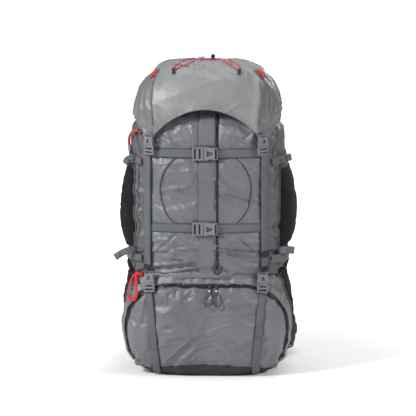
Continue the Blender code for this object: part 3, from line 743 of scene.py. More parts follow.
LID_GREY = shell_cloth("lid_cloth", (0.228, 0.231, 0.238), roughness=0.39)
# A darker copy of the lid's cloth for its side gussets: painted shade for the folded gussets.
LID_SIDE_PAINTED_SHADE = shell_cloth("lid_side_painted_shade_cloth", (0.150, 0.153, 0.160), roughness=0.37)
BODY_GREY = shell_cloth("body_cloth", (0.146, 0.151, 0.163), roughness=0.36)
# Also the lighter grey of the seam piping, where it is a painted highlight for the light the piping catches.
BAND_GREY = shell_cloth("band_cloth", (0.176, 0.181, 0.192), roughness=0.44)
DARK_GREY = shell_cloth("side_cloth", (0.086, 0.089, 0.097), roughness=0.42)
# The dark boot's cloth, also used for the thin near-black tubes of painted shadow beside the seams.
BOOT_AND_PAINTED_SHADOW = shell_cloth("boot_and_painted_shadow_cloth", (0.035, 0.036, 0.040), grid=0.0030, roughness=0.55, sheen=0.02, specular=0.35)
LINING = shell_cloth("lining_cloth", (0.110, 0.112, 0.118), roughness=0.60, sheen=0.1)
WEB = webbing_cloth("grey_webbing", (0.128, 0.136, 0.150))
WEB_DARK = webbing_cloth("black_webbing", (0.026, 0.027, 0.030))
RED_WEB = webbing_cloth("red_webbing", (0.640, 0.028, 0.026))
MESH = mesh_cloth("pocket_mesh", (0.013, 0.013, 0.0145))
SPACER = mesh_cloth("spacer_mesh", (0.020, 0.0205, 0.023), cell=0.0046)
PAD_CLOTH = shell_cloth("pad_cloth", (0.026, 0.0265, 0.029), grid=0.0045, roughness=0.60, sheen=0.01, specular=0.22)
RED_CORD = braid_cord("red_cord", (0.620, 0.020, 0.022), fleck=(0.75, 0.35, 0.33))
BLACK_CORD = braid_cord("black_cord", (0.030, 0.030, 0.033), fleck=(0.30, 0.30, 0.31))
BUCKLE = moulded_plastic("buckle_plastic", (0.180, 0.186, 0.198), roughness=0.33)
BLACK_PLASTIC = moulded_plastic("black_plastic", (0.022, 0.022, 0.024))
PALE_PLASTIC = moulded_plastic("pale_plastic", (0.420, 0.425, 0.430))
ZIP_TAPE = webbing_cloth("zip_tape", (0.030, 0.031, 0.034), rib=0.0012)
ZIP_TEETH = moulded_plastic("zip_coil", (0.030, 0.031, 0.034), roughness=0.30)
ZIP_METAL = coated_metal("zip_metal", (0.110, 0.112, 0.118))
ALLOY = coated_metal("stay_alloy", (0.560, 0.565, 0.575), metallic=1.0, roughness=0.30)
SHEET = sheet_plastic("sheet_plastic", (0.030, 0.030, 0.033))
THREAD = thread("grey_thread", (0.240, 0.245, 0.255))
DARK_THREAD = thread("black_thread", (0.050, 0.051, 0.055))
RED_THREAD = thread("red_thread", (0.550, 0.030, 0.030))


# --- The three cloth shells -----------------------------------------------------------------------------------


def even_angles(profile, z, count):
    """Angles whose points lie at even spacing round the section at this height, starting at the back."""
    dense = np.linspace(math.pi / 2, math.pi / 2 + 2 * math.pi, 40001)
    p = surface_points(profile, dense, z)
    length = run_lengths(p)
    return np.interp(np.linspace(0, length[-1], count, endpoint=False), length, dense)


def to_front(points):
    """1 over the front and sides, and 0 over the flat back that the frame lies on."""
    return np.clip((0.100 - points[..., 1]) / 0.05, 0, 1)


def waist_fill(p):
    """The cloth at the sides doesn't follow the waist between the two bags, but bridges it."""
    return 0.0150 * near(p[..., 2], 0.258, 0.042) * np.clip((np.abs(p[..., 0]) - 0.138) / 0.03, 0, 1)


def main_lift(p):
    """How far the main bag's cloth stands from its section: full between the straps, drawn in under them."""
    x, y, z = p[..., 0], p[..., 1], p[..., 2]
    front = np.clip((-y - 0.03) / 0.05, 0, 1)
    across = front * np.maximum(near(z, UPPER_STRAP_Z, 0.020), near(z, LOWER_STRAP_Z, 0.020))
    along = front * near(np.abs(x), STRAP_X, 0.013)
    held = np.clip(np.maximum(across, along), 0, 1)
    waist = near(z, 0.252, 0.030)
    puff = 0.0052 * (1 - held) * (1 - waist) * front * np.clip((0.655 - z) / 0.05, 0, 1)
    ring = np.hypot(x, z - RING_Z)
    seam = near(ring, RING_RADIUS, 0.0022) * front
    for (x0, z0), _, (x1, z1) in CORNER_SEAMS.values():
        run = np.hypot(x1 - x0, z1 - z0)
        ux, uz = (x1 - x0) / run, (z1 - z0) / run
        along_seam = (np.abs(x) - x0) * ux + (z - z0) * uz
        off_seam = (np.abs(x) - x0) * -uz + (z - z0) * ux
        seam = np.maximum(seam, near(off_seam, 0, 0.0022) * front * (along_seam > 0) * (along_seam < run))
    seam = np.maximum(seam, near(np.abs(x), 0.163, 0.0022) * front * 0.8)
    placket = near(x, PLACKET_X, 0.024) * front
    right = np.clip(x / 0.05 + 0.5, 0, 1)
    hung = np.clip((z - 0.575) / 0.02, 0, 1)
    low = np.clip((0.365 - z) / 0.02, 0, 1)
    middle = (1 - hung) * (1 - low)
    fan = streaks(p, -68, 0.120, 0.026, 3, 1.2) * (1 - right) + streaks(p, 66, 0.120, 0.028, 4, 1.2) * right
    slants = streaks(p, -14, 0.120, 0.024, 8, 1.2) * right * 1.35 + streaks(p, 9, 0.130, 0.036, 9, 1.6) * (1 - right)
    level = streaks(p, -7, 0.120, 0.016, 21, 1.1) * right + streaks(p, 6, 0.120, 0.016, 22, 1.1) * (1 - right)
    fine = streaks(p, -32, 0.060, 0.013, 26, 1.6)
    cuffs = streaks(p, 90, 0.050, 0.012, 17, 1.1) * np.clip(across * 1.6, 0, 1)
    flank = np.clip((np.abs(x) - 0.155) / 0.02, 0, 1) * np.clip((0.628 - z) / 0.02, 0, 1)
    pinch = np.maximum(near(z, 0.548, 0.020), near(z, 0.303, 0.020))
    slope = streaks(p, 24, 0.110, 0.030, 29, 1.3)
    wrinkle = 0.0088 * fan * hung + 0.0074 * slants * middle + 0.0108 * level * low + 0.0034 * fine + 0.0042 * cuffs
    wrinkle = wrinkle + flank * 0.0072 * slope - 0.0040
    wrinkle = wrinkle * (1 - 0.85 * held) * (1 - 0.6 * placket)
    puff = puff + flank * 0.0085 * (1 - pinch) * (1 - waist) + waist_fill(p)
    neck = np.clip((z - 0.640) / 0.046, 0, 1)
    pleats = 0.0030 * neck * np.sin(np.arctan2(y, x) * 34 + 2 * smooth_noise(p * 9, 5))
    lift = puff + wrinkle - 0.0020 * seam + 0.0012 * near(ring, 0.112, 0.006) * front + pleats
    most = np.interp(z, [0.300, 0.330, 0.618, 0.634], [0.0260, 0.0125, 0.0125, 0.0010])
    return np.clip(lift, -0.0045, most) * to_front(p) - 0.0008 * (1 - to_front(p))


def lower_strap_x(z):
    return STRAP_X - 0.020 * (1 - np.clip(z, 0, 0.224) / 0.224)


ZIP_ARC = [(-0.178, 0.040), (-0.190, 0.062), (-0.1965, 0.120), (-0.186, 0.168), (-0.160, 0.203), (-0.122, 0.2235),
           (-0.080, 0.2297), (-0.040, 0.2297), (0.000, 0.2297), (0.040, 0.2297), (0.080, 0.2297), (0.122, 0.2235),
           (0.160, 0.203), (0.186, 0.168), (0.1965, 0.120), (0.190, 0.062), (0.178, 0.040)]


def zip_arc(spacing):
    """The lower compartment's zip as (x, z), even along its length."""
    flat = np.array([(x, 0.0, z) for x, z in ZIP_ARC])
    path = resampled(smooth_path(flat, 6), spacing)
    return path[:, 0], path[:, 2]


ARC_X, ARC_Z = zip_arc(0.004)


def arc_distance(x, z):
    """Distance from the zip's line: positive outside the arch."""
    flat = np.stack([x.ravel(), z.ravel()], -1)
    line = np.stack([ARC_X, ARC_Z], -1)
    best = np.full(len(flat), 9.0)
    for start in range(0, len(flat), 4000):
        part = flat[start:start + 4000]
        best[start:start + 4000] = np.sqrt(((part[:, None] - line[None]) ** 2).sum(-1)).min(1)
    inside = (np.abs(flat[:, 0]) < np.interp(flat[:, 1], [0.03, 0.12, 0.168, 0.203, 0.2235, 0.2297],
                                           [0.176, 0.1965, 0.186, 0.160, 0.122, 0.0]))
    return np.where(inside & (flat[:, 1] < 0.2297), -best, best).reshape(x.shape)


def boot_line(x):
    """The height of the dark boot's upper edge."""
    return 0.0325 - 0.60 * np.clip(x, -0.19, 0.19) ** 2


def bottom_lift(p):
    """How far the lower compartment's cloth stands from its section."""
    x, y, z = p[..., 0], p[..., 1], p[..., 2]
    front = np.clip((-y - 0.02) / 0.05, 0, 1)
    strap = near(np.abs(x), lower_strap_x(z), 0.016) * front
    waist = near(z, 0.252, 0.022)
    gap = arc_distance(x, z)
    zip_line = near(gap, 0, 0.0045) * front
    puff = 0.0040 * (1 - strap) * (1 - waist) * np.clip(z / 0.05, 0, 1) * front
    droop = streaks(p, 90, 0.055, 0.017, 31, 1.1) * near(gap, -0.024, 0.024) * front
    smile = np.stack([x, y, z - 1.7 * x**2], -1)
    swags = streaks(smile, 0, 0.190, 0.032, 44, 1.4) * np.clip(1.15 - np.abs(z - 0.12) / 0.08, 0, 1)
    corners = streaks(p, 40, 0.120, 0.024, 47, 1.3) * np.clip(-x / 0.06, 0, 1)
    corners = corners + streaks(p, -40, 0.120, 0.024, 48, 1.3) * np.clip(x / 0.06, 0, 1)
    creases = streaks(p, 12, 0.070, 0.014, 51, 1.6)
    wrinkle = 0.0100 * droop + 0.0086 * swags + 0.0074 * corners + 0.0034 * creases - 0.0056
    boot = near(z, boot_line(x), 0.0022)
    lift = puff + wrinkle * (1 - 0.95 * strap) * (1 - 0.8 * zip_line) * np.clip(z / 0.03, 0, 1)
    lift = lift - 0.0016 * boot - 0.0018 * zip_line
    lift = np.clip(lift, -0.0045, 0.0085) * (1 - 0.5 * np.clip((np.abs(x) - 0.175) / 0.02, 0, 1)) + waist_fill(p)
    lift = lift * to_front(p) - 0.0008 * (1 - to_front(p))
    return lift * np.clip(z / 0.012, 0, 1)


def lid_edge(angle):
    """The height of the lid's lower edge, which arches over the front, as in the CAD model."""
    half = profile_rows(LID, 0.62)[0]
    x = np.abs(surface_points(LID, angle, 0.62)[..., 0])
    arch = 0.6005 + 0.0695 * np.clip(1 - (x / 0.128) ** 2, 0, 1) ** 0.80
    side = 0.6005 + 0.036 * np.clip((x - 0.152) / (half - 0.152), 0, 1) ** 0.8
    back = 0.606 + 0.026 * np.cos(angle) ** 2
    front = np.where(x < STRAP_X, arch, side)
    blend = np.clip((np.sin(angle) + 0.12) / 0.24, 0, 1)
    return front * (1 - blend) + back * blend


def lid_lift(p):
    """How far the lid's cloth stands from its section."""
    x, y, z = p[..., 0], p[..., 1], p[..., 2]
    front = np.clip((-y - 0.02) / 0.05, 0, 1)
    top = np.clip((z - 0.735) / 0.03, 0, 1)
    puff = 0.0050 * near(z, 0.695, 0.060)
    side = np.clip((np.abs(x) - 0.105) / 0.035, 0, 1)
    right = np.clip(x / 0.05 + 0.5, 0, 1)
    drawn = streaks(p, 74, 0.120, 0.024, 61, 1.2) * right + streaks(p, -72, 0.120, 0.022, 62, 1.2) * (1 - right)
    pulled = streaks(p, 32, 0.110, 0.026, 66, 1.4) * right + streaks(p, -32, 0.110, 0.026, 67, 1.4) * (1 - right)
    soft = streaks(p, 20, 0.150, 0.050, 72, 0.9)
    edge = near(np.abs(x), lid_seam_x(z) - 0.003, 0.0060) * front * np.clip((0.755 - z) / 0.02, 0, 1)
    flat = np.stack([x / 0.055, y / 0.030, 0.4 + 0 * x], -1)
    crush = folds(flat + 0.9 * np.stack([flat[..., 1], flat[..., 0], 0 * x], -1), (1, 1, 1), 77, 1.4, 0.3) * top
    lower = near(z, 0.640, 0.035)
    draw_in = 0.0070 * near(z, 0.626, 0.028) * np.clip((np.abs(x) - 0.140) / 0.03, 0, 1)
    wrinkle = (0.0090 * drawn * side + 0.0084 * pulled * lower * front + 0.0024 * soft) * (1 - top) + 0.0078 * crush
    wrinkle = wrinkle - 0.0030 - draw_in + 0.0026 * edge - 0.0040 * np.clip((np.abs(x) - 0.130) / 0.02, 0, 1)
    corner = np.interp(z, [0.660, 0.720, 0.748, 0.768],
                       [0.0, 0.0045, 0.0110, 0.0030]) * np.clip((np.abs(x) - 0.100) / 0.03, 0, 1)
    lift = puff + wrinkle - corner * np.where(x < 0, 1.0, 0.45)
    return np.clip(lift, -0.0150, 0.0090)


def lid_seam_x(z):
    """Where the seam between the lid's front panel and its side gusset runs."""
    return np.interp(z, [0.630, 0.700, 0.745, 0.760], [0.1265, 0.1310, 0.1310, 0.1170])


def rounded_top(profile, z):
    """How far the lift is let grow: it dies away where the section closes to a point."""
    return np.clip((profile_rows(profile, z)[0] - 0.010) / 0.05, 0, 1)


def make_main_shell():
    angle = even_angles(MAIN_BAG, 0.45, 330)
    z = np.concatenate([np.linspace(0.2505, 0.640, 118), np.linspace(0.6435, 0.686, 14)])
    angle, z = np.meshgrid(angle, z)
    base = surface_points(MAIN_BAG, angle, z)
    points = base + main_lift(base)[..., None] * surface_normals(MAIN_BAG, base)
    mesh = slab_mesh("main_shell", points, grid_normals(points, True), 0.0030, wrap=True)
    centre = vectors_of(mesh.polygons, "center")
    side = (np.abs(centre[:, 0]) > 0.1460) & (centre[:, 1] < 0.112) & (centre[:, 2] < 0.640)
    cells = (len(z) - 1) * z.shape[1]
    material = np.where(side, 1, 0)
    material[cells:2 * cells] = 2
    paint(mesh, material)
    add_piece("main_shell", mesh, [BODY_GREY, DARK_GREY, LINING], replaces=["main_bag"])


def make_bottom_shell():
    angle = even_angles(BOTTOM_BAG, 0.14, 330)
    z = np.concatenate([[0.0, 0.0015, 0.004], np.linspace(0.0065, 0.0365, 15), np.linspace(0.0395, 0.2530, 75)])
    angle, z = np.meshgrid(angle, z)
    base = surface_points(BOTTOM_BAG, angle, z)
    points = base + bottom_lift(base)[..., None] * surface_normals(BOTTOM_BAG, base)
    rows, columns = points.shape[:2]
    inner = surface_points(BOTTOM_BAG, angle, np.clip(z, 0.004, 0.2516), 0.0042)[::6]
    floor_out = [points[0] * (s, s, 1) for s in (0.10, 0.45, 0.80, 0.97)]
    floor_in = [inner[0] * (s, s, 1) for s in (0.97, 0.55, 0.10)]
    grid = np.concatenate([floor_out, points, inner[::-1], floor_in])
    mesh = capped_mesh("bottom_shell", grid, grid_uvs(grid))
    centre = vectors_of(mesh.polygons, "center")
    material = np.where(centre[:, 2] < boot_line(centre[:, 0]), 1, 0)
    outside = (len(floor_out) + rows - 1) * columns
    material[outside:] = 2
    material[-2] = 1
    paint(mesh, material)
    add_piece("bottom_shell", mesh, [BODY_GREY, BOOT_AND_PAINTED_SHADOW, LINING], replaces=["bottom_bag"])


def make_lid_shell():
    angle = even_angles(LID, 0.66, 330)
    edge = lid_edge(angle)
    share = np.linspace(0, 1, 52)[:, None]
    low_z = edge[None] + share * (0.731 - edge[None])
    high_z = np.concatenate([np.linspace(0.7335, 0.766, 15),
                             [0.7685, 0.7710, 0.7730, 0.7745, 0.7757, 0.7767, 0.7774, 0.7778]])
    z = np.concatenate([low_z, np.repeat(high_z[:, None], len(angle), 1)])
    angle = np.broadcast_to(angle[None], z.shape)
    base = surface_points(LID, angle, z)
    normals = surface_normals(LID, base)
    points = base + (lid_lift(base) * rounded_top(LID, z))[..., None] * normals
    apex = points[-1].mean(0)
    cap = [apex + (points[-1] - apex) * s for s in (0.7, 0.35, 0.06)]
    inner_z = edge[None] + np.array([0.0, 0.35, 0.7, 1.0])[:, None] * (UNDERSIDE - edge[None])
    inner = surface_points(LID, np.broadcast_to(angle[0], inner_z.shape), inner_z, 0.0040)
    ceiling = [inner[-1] * (s, s, 1) for s in (0.85, 0.45, 0.05)]
    grid = np.concatenate([np.array(ceiling)[::-1], inner[::-1], points, np.array(cap)])
    columns = grid.shape[1]
    mesh = capped_mesh("lid_shell", grid, grid_uvs(grid))
    inside = (len(ceiling) + len(inner)) * columns
    material = np.zeros(len(mesh.polygons), np.int32)
    material[:inside] = 1
    material[-2] = 1
    x, y, z = vectors_of(mesh.polygons, "center").T
    # The side gussets take the darker copy of the lid's cloth, which paints shade onto them.
    gusset = (np.abs(x) > lid_seam_x(z)) & (y < 0.52 * profile_rows(LID, z)[0]) & (z < 0.760)
    material[gusset & (material == 0)] = 2
    paint(mesh, material)
    add_piece("lid_shell", mesh, [LID_GREY, LINING, LID_SIDE_PAINTED_SHADE], body="lid", replaces=["lid"])


make_main_shell()
make_bottom_shell()
make_lid_shell()


# --- Webbing, zips and trim -----------------------------------------------------------------------------------


def on_cloth(profile, lift_of, x, z, above):
    """Points and normals on the front of the draped cloth, this far above it."""
    points, normals = on_front(profile, x, z)
    return points + (lift_of(points) + above)[..., None] * normals, normals


def add_tube(name, points, radius, material, body=PACK, sides=8, closed=False, replaces=()):
    mesh = tube_mesh(name, points, radius, sides, closed)
    return add_piece(name, mesh, material, body=body, replaces=replaces)


def add_thread(name, lines, material=THREAD, body=PACK):
    return add_piece(name, stitch_mesh(name, lines), material, body=body)


def facing(along, beside, axis):
    """Unit normals square to a line and to one direction, all on the positive side of an axis."""
    normals = np.cross(along, beside)
    return unit(normals * np.sign(normals[:, axis:axis + 1] + 1e-9))


def boxed_cross(centre, along, normal, length, width):
    """The lines of a box with a cross in it, the stitching that holds webbing down."""
    along, normal = np.array(along, float), np.array(normal, float)
    side = np.cross(along, normal)
    corner = [centre + a * along * length / 2 + s * side * width / 2 for a, s in ((-1, -1), (1, -1), (1, 1), (-1, 1))]
    pairs = [(0, 1), (1, 2), (2, 3), (3, 0), (0, 2), (1, 3)]
    return [(np.linspace(corner[a], corner[b], 6), np.repeat(normal[None], 6, 0)) for a, b in pairs]


def make_strap(name, points, normals, width, material, node=None, body=PACK, sewn=((0.0, 0.0),), seed=0, ripple=0.0):
    """A strap, with a boxed cross at each share of its length in sewn, as a separate piece of thread."""
    points, normals = np.asarray(points, float), np.asarray(normals, float)
    mesh = web_mesh(name, points, normals, width, ripple=ripple, seed=seed)
    add_piece(name, mesh, material, body=body, replaces=[node] if node else ())
    lines = []
    for share in sewn:
        k = int(round(share * (len(points) - 1)))
        k = min(max(k, 1), len(points) - 2)
        along = directions(points)[k]
        lines += boxed_cross(points[k] + 1.25 * THICK * normals[k], along, normals[k], 0.018, width - 0.006)
    if lines:
        add_thread(f"{name}_thread", lines, body=body)


def make_straps():
    for side, name in SIDES:
        z = np.linspace(0.270, 0.577, 90)
        points, normals = on_front(MAIN_BAG, side * STRAP_X + 0 * z, z, 0.0078)
        sewn = (0.10, 0.90) if side > 0 else (0.06, 0.88)
        make_strap(f"vertical_web_{name}", points, normals, NARROW, WEB, f"vertical_strap_{name}", sewn=sewn,
                   ripple=0.0003)
        z = np.linspace(0.006, 0.226, 70)
        points, normals = on_front(BOTTOM_BAG, side * lower_strap_x(z), z,
                                   0.0034 + 0.0026 * np.clip((z - 0.15) / 0.07, 0, 1))
        web = web_mesh(f"lower_web_{name}", points, normals, NARROW, ripple=0.0004, seed=4 + side)
        strap = add_piece(f"lower_web_{name}", web, WEB, replaces=[f"lower_strap_{name}"])
        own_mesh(strap)
        k = 26
        lines = boxed_cross(points[k] + 1.25 * THICK * normals[k], directions(points)[k], normals[k], 0.024, 0.014)
        lines += boxed_cross(points[4] + 1.25 * THICK * normals[4], directions(points)[4], normals[4], 0.014, 0.014)
        tack = add_thread(f"lower_web_{name}_thread", lines)
        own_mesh(tack)
    for z, level, joint in ((UPPER_STRAP_Z, "upper", "upper_buckle_release"),
                            (LOWER_STRAP_Z, "lower", "middle_buckle_release")):
        x = np.linspace(-0.148, BUCKLE_X - 0.010, 60)
        points, normals = on_front(MAIN_BAG, x, z + 0 * x, 0.0042 + 0.0028 * np.clip((x + 0.06) / 0.045, 0, 1))
        strap = add_piece(f"cross_web_{level}_left",
                          web_mesh("cross", points, normals, WIDE - 0.003, ripple=0.0004, seed=9), WEB,
                          replaces=[f"front_strap_{level}_left"])
        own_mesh(strap)
        x = np.linspace(BUCKLE_X + 0.030, 0.148, 56)
        points, normals = on_front(MAIN_BAG, x, z + 0 * x, 0.0042 + 0.0024 * np.clip((0.06 - x) / 0.03, 0, 1))
        make_strap(f"cross_web_{level}_right", points, normals, WIDE - 0.003, WEB, f"front_strap_{level}_right",
                   sewn=(0.86,))


def make_keepers():
    """Short dark sleeves that hold the loose ends of the vertical straps against them."""
    for name, side, low, high in (("right_high", 1, 0.3020, 0.3180), ("right_low", 1, 0.2680, 0.2800),
                                  ("left_low", -1, 0.2700, 0.2820)):
        z = np.linspace(low, high, 12)
        points, normals = on_front(MAIN_BAG, side * STRAP_X + 0 * z, z, 0.0078 + 0.0020)
        make_strap(f"keeper_{name}", points, normals, NARROW + 0.0022, WEB_DARK, sewn=())
    for name, side, low, high in (("lower_right", 1, 0.1060, 0.1320), ("lower_left", -1, 0.0720, 0.0980)):
        z = np.linspace(low, high, 14)
        points, normals = on_front(BOTTOM_BAG, side * lower_strap_x(z), z, 0.0034 + 0.0020)
        sleeve = add_piece(f"keeper_{name}", web_mesh("keeper", points, normals, NARROW + 0.0016), DARK_GREY)
        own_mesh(sleeve)


def side_angle(side, degrees):
    angle = np.radians(degrees)
    return angle if side > 0 else math.pi - angle


def make_side_straps():
    for side, name in SIDES:
        for level, z in (("upper", 0.542), ("lower", 0.303)):
            degrees = np.linspace(-38, 62, 60)
            tilt = 0.012 * np.clip((degrees + 38) / 60, 0, 1) * (1 if level == "upper" else 0.4)
            base = surface_points(MAIN_BAG, side_angle(side, degrees), z + tilt - 0.006)
            normals = surface_normals(MAIN_BAG, base)
            around = [main_lift(base + (0, 0, dz)) for dz in (-0.009, -0.003, 0.003, 0.009)]
            lift = np.convolve(np.pad(np.max(around, axis=0), 4, mode="edge"), np.ones(9) / 9, "valid")
            points = base + (np.maximum(lift + 0.0016, 0.0030))[:, None] * normals
            make_strap(f"side_web_{level}_{name}", points, normals, NARROW, WEB, f"side_strap_{level}_{name}",
                       sewn=(0.05, 0.93), seed=3)
    tails = (
        ("tail_left", NARROW - 0.003,
         [(-0.176, -0.085, 0.316), (-0.192, -0.092, 0.314), (-0.208, -0.094, 0.308), (-0.226, -0.092, 0.296)]),
        ("tail_right", NARROW - 0.001,
         [(0.176, -0.080, 0.314), (0.190, -0.087, 0.316), (0.204, -0.087, 0.317), (0.216, -0.082, 0.315)]),
        ("tail_upper_left", NARROW - 0.004,
         [(-0.176, -0.080, 0.546), (-0.186, -0.084, 0.544), (-0.196, -0.082, 0.538), (-0.201, -0.078, 0.530)]),
        ("tail_upper_right", NARROW - 0.002,
         [(0.176, -0.078, 0.536), (0.188, -0.080, 0.541), (0.199, -0.076, 0.545), (0.206, -0.068, 0.546)]),
    )
    for name, width, route in tails:
        points = smooth_path(np.array(route), 6)
        along = directions(points)
        facing = np.array([0.25 * np.sign(route[0][0]), -1.0, 0.12])
        normals = unit(np.cross(along, np.cross(np.broadcast_to(facing, points.shape), along)))
        make_strap(f"side_{name}", points, normals, width, WEB, sewn=(0.08, 0.86), ripple=0.0006, seed=2)
        fold = np.array([points[-1] + 0.0019 * normals[-1] - along[-1] * d for d in np.linspace(0.0, 0.016, 8)])
        make_strap(f"side_{name}_fold", fold, np.broadcast_to(normals[-1], fold.shape), width - 0.001, WEB, sewn=())


def zip_run(name, profile, lift_of, x, z, width, above, depth=0.0012):
    """A coil zip along (x, z) on a bag's front: the woven tape, its teeth and, on a wide tape, its stitching."""
    points, normals = on_cloth(profile, lift_of, x, z, above)
    tape = web_mesh(f"{name}_tape", points, normals, width, thickness=0.0009, across=5)
    add_piece(f"{name}_tape", tape, ZIP_TAPE)
    path = resampled(points + depth * normals, 0.0017)
    share = np.linspace(0, 1, len(points))
    at = np.linspace(0, 1, len(path))
    normal = unit(interpolated(at, share, normals))
    along = directions(path)
    side = np.cross(along, normal)
    vertices, faces = [], []
    for k in range(len(path)):
        sway = 0.0011 if k % 2 else -0.0011
        for a, s, n in ((-1, -1, 0), (1, -1, 0), (1, 1, 0), (-1, 1, 0), (-0.7, -0.7, 1), (0.7, -0.7, 1), (0.7, 0.7, 1),
                        (-0.7, 0.7, 1)):
            vertices.append(path[k] + a * 0.00062 * along[k] + (sway + s * 0.0019) * side[k] + n * 0.0012 * normal[k])
        i = 8 * k
        faces += [(i, i + 3, i + 2, i + 1), (i + 4, i + 5, i + 6, i + 7)]
        faces += [(i + j, i + (j + 1) % 4, i + 4 + (j + 1) % 4, i + 4 + j) for j in range(4)]
    add_piece(f"{name}_teeth", mesh_of(f"{name}_teeth", vertices, faces), ZIP_TEETH, smooth=False)
    if width > 0.010:
        lines = [(points + s * (width / 2 - 0.0018) * np.cross(directions(points), normals) + 0.0013 * normals,
                  normals) for s in (-1, 1)]
        add_thread(f"{name}_thread", lines, DARK_THREAD)


def make_zips():
    x, z = zip_arc(0.005)
    zip_run("lower_zip", BOTTOM_BAG, bottom_lift, x, z, width=0.0110, above=0.0003)
    x, z = zip_arc(0.004)
    points, normals = on_cloth(BOTTOM_BAG, bottom_lift, x, z, 0.0016)
    points = points + 0.0145 * np.cross(normals, directions(points))
    z = np.minimum(points[:, 2], 0.2500)
    half, depth, _ = profile_rows(BOTTOM_BAG, z)
    angle = np.arctan2((np.maximum(-points[:, 1], 0) / depth) ** 1.5, (np.abs(points[:, 0]) / half) ** 1.5)
    base = surface_points(BOTTOM_BAG, np.where(points[:, 0] >= 0, -angle, angle - math.pi), z)
    normals = surface_normals(BOTTOM_BAG, base)
    points = base + (bottom_lift(base) + 0.0016)[:, None] * normals
    length = run_lengths(points)
    wobble = 0.0012 * noise_along(length * 28, 6)
    flap = web_mesh("rain_flap", points + wobble[:, None] * normals, normals, 0.0210, thickness=0.0018, across=9)
    add_piece("rain_flap", flap, BAND_GREY)
    side = np.cross(directions(points), normals)
    lines = [(points + s * 0.0085 * side + (0.0030 + wobble)[:, None] * normals, normals) for s in (-1, 1)]
    add_thread("rain_flap_thread", lines)
    z = np.linspace(0.276, 0.655, 90)
    zip_run("front_zip", MAIN_BAG, main_lift, FRONT_ZIP_X + 0 * z, z, width=0.0066, above=-0.0002, depth=0.0007)
    z = np.linspace(0.262, 0.664, 120)
    x = PLACKET_X + 0 * z
    points, normals = on_cloth(MAIN_BAG, main_lift, x, z, 0.0012)
    wobble = 0.0007 * noise_along(z * 26, 4)
    placket = web_mesh("storm_placket", points + wobble[:, None] * normals, normals, 0.040, thickness=0.0016, across=13)
    add_piece("storm_placket", placket, BODY_GREY, replaces=["front_placket"])
    side = np.cross(directions(points), normals)
    lines = [(points + s * side + (0.0024 + wobble)[:, None] * normals, normals) for s in (-0.0180, -0.0145, 0.0180)]
    add_thread("storm_placket_thread", lines)


def make_welt():
    """The rolled hem between the lower compartment and the main bag, tall and full in the middle of the front."""
    x = np.linspace(-0.150, 0.150, 240)
    share = np.abs(x) / 0.150
    centre_z = 0.2590 - 0.009 * share**2
    points, normals = on_front(MAIN_BAG, x, np.maximum(centre_z, 0.2525), 0.0)
    points[:, 2] = centre_z
    full = np.sqrt(np.clip(1 - share**5, 0.02, 1))
    turn = np.linspace(0, 2 * math.pi, 30, endpoint=False)
    pleat = noise_along(x * 150, 14)
    slow = noise_along(x * 34, 15, 3)
    rings, uvs = [], []
    for k in range(len(x)):
        tall = (0.0108 + 0.0022 * share[k] ** 2 + 0.0010 * slow[k]) * full[k]
        deep = (0.0082 + 0.0009 * slow[k]) * full[k]
        rough = 1 + 0.075 * pleat[k] * (0.4 + 0.6 * np.clip(-np.sin(turn), 0, 1))
        out = np.clip(np.cos(turn), -0.35, 1) * deep * rough
        rings.append(points[k] + out[:, None] * normals[k] + (np.sin(turn) * tall)[:, None] * np.array([0, 0, 1.0]))
        uvs += [(x[k], a * 0.010) for a in turn]
    add_piece("rolled_welt", capped_mesh("rolled_welt", np.array(rings), uvs), BAND_GREY)
    lines = []
    for up, out in ((0.0098, 0.0056), (-0.0098, 0.0058)):
        p = points + (up * full)[:, None] * np.array([0, 0, 1.0]) + (out * full + 0.0003)[:, None] * normals
        lines.append((p[8:-8], normals[8:-8]))
    add_thread("rolled_welt_thread", lines)


def seam_piping(name, points_xz, radius=0.0015, material=BAND_GREY):
    """Piping and, beside it, a thin near-black tube of painted shadow, along (x, z) on the main bag. It returns the two
    rows of stitches.
    """
    path = smooth_path([(x, 0, z) for x, z in points_xz], 10)
    points, normals = on_cloth(MAIN_BAG, main_lift, path[:, 0], path[:, 2], 0.0002)
    # The default band grey is lighter than the body cloth: painted highlight for the light the piping catches.
    add_piece(name, tube_mesh(name, points, radius, sides=8), material)
    side = np.cross(directions(points), normals)
    # A thin near-black tube beside the piping, named fold: painted shadow along the seam.
    shadow_line = points + 0.0021 * side - 0.0001 * normals
    add_piece(f"{name}_fold", tube_mesh(name, shadow_line, 0.0010, sides=6), BOOT_AND_PAINTED_SHADOW)
    return [(points + s * 0.0042 * side + 0.0004 * normals, normals) for s in (-1, 1)]


def make_seams():
    turns = np.linspace(0, 2 * math.pi, 160)

    def ring_at(grow, above):
        reach = RING_RADIUS + grow
        return on_cloth(MAIN_BAG, main_lift, reach * np.cos(turns), RING_Z + reach * np.sin(turns), above)

    lines = [ring_at(grow, 0.0004) for grow in (-0.0038, 0.0038)]
    # The ring's piping is in the lighter band grey, a painted highlight, and the near-black tube named fold beside it
    # is painted shadow.
    for name, grow, above, radius, sides, cloth in (("piping", 0, 0.0002, 0.0017, 8, BAND_GREY),
                                                    ("fold", 0.0024, -0.0001, 0.0016, 6, BOOT_AND_PAINTED_SHADOW)):
        line = ring_at(grow, above)[0][:-1]
        add_tube(f"ring_{name}", line, radius, cloth, sides=sides, closed=True)
    for side, name in SIDES:
        for level, route in CORNER_SEAMS.items():
            lines += seam_piping(f"corner_seam_{level}_{name}", [(side * x, z) for x, z in route])
        panel = [(side * 0.1632, z) for z in (0.262, 0.35, 0.45, 0.55, 0.605)]
        lines += seam_piping(f"panel_seam_{name}", panel, 0.0011, DARK_GREY)
    add_thread("body_seam_thread", lines)


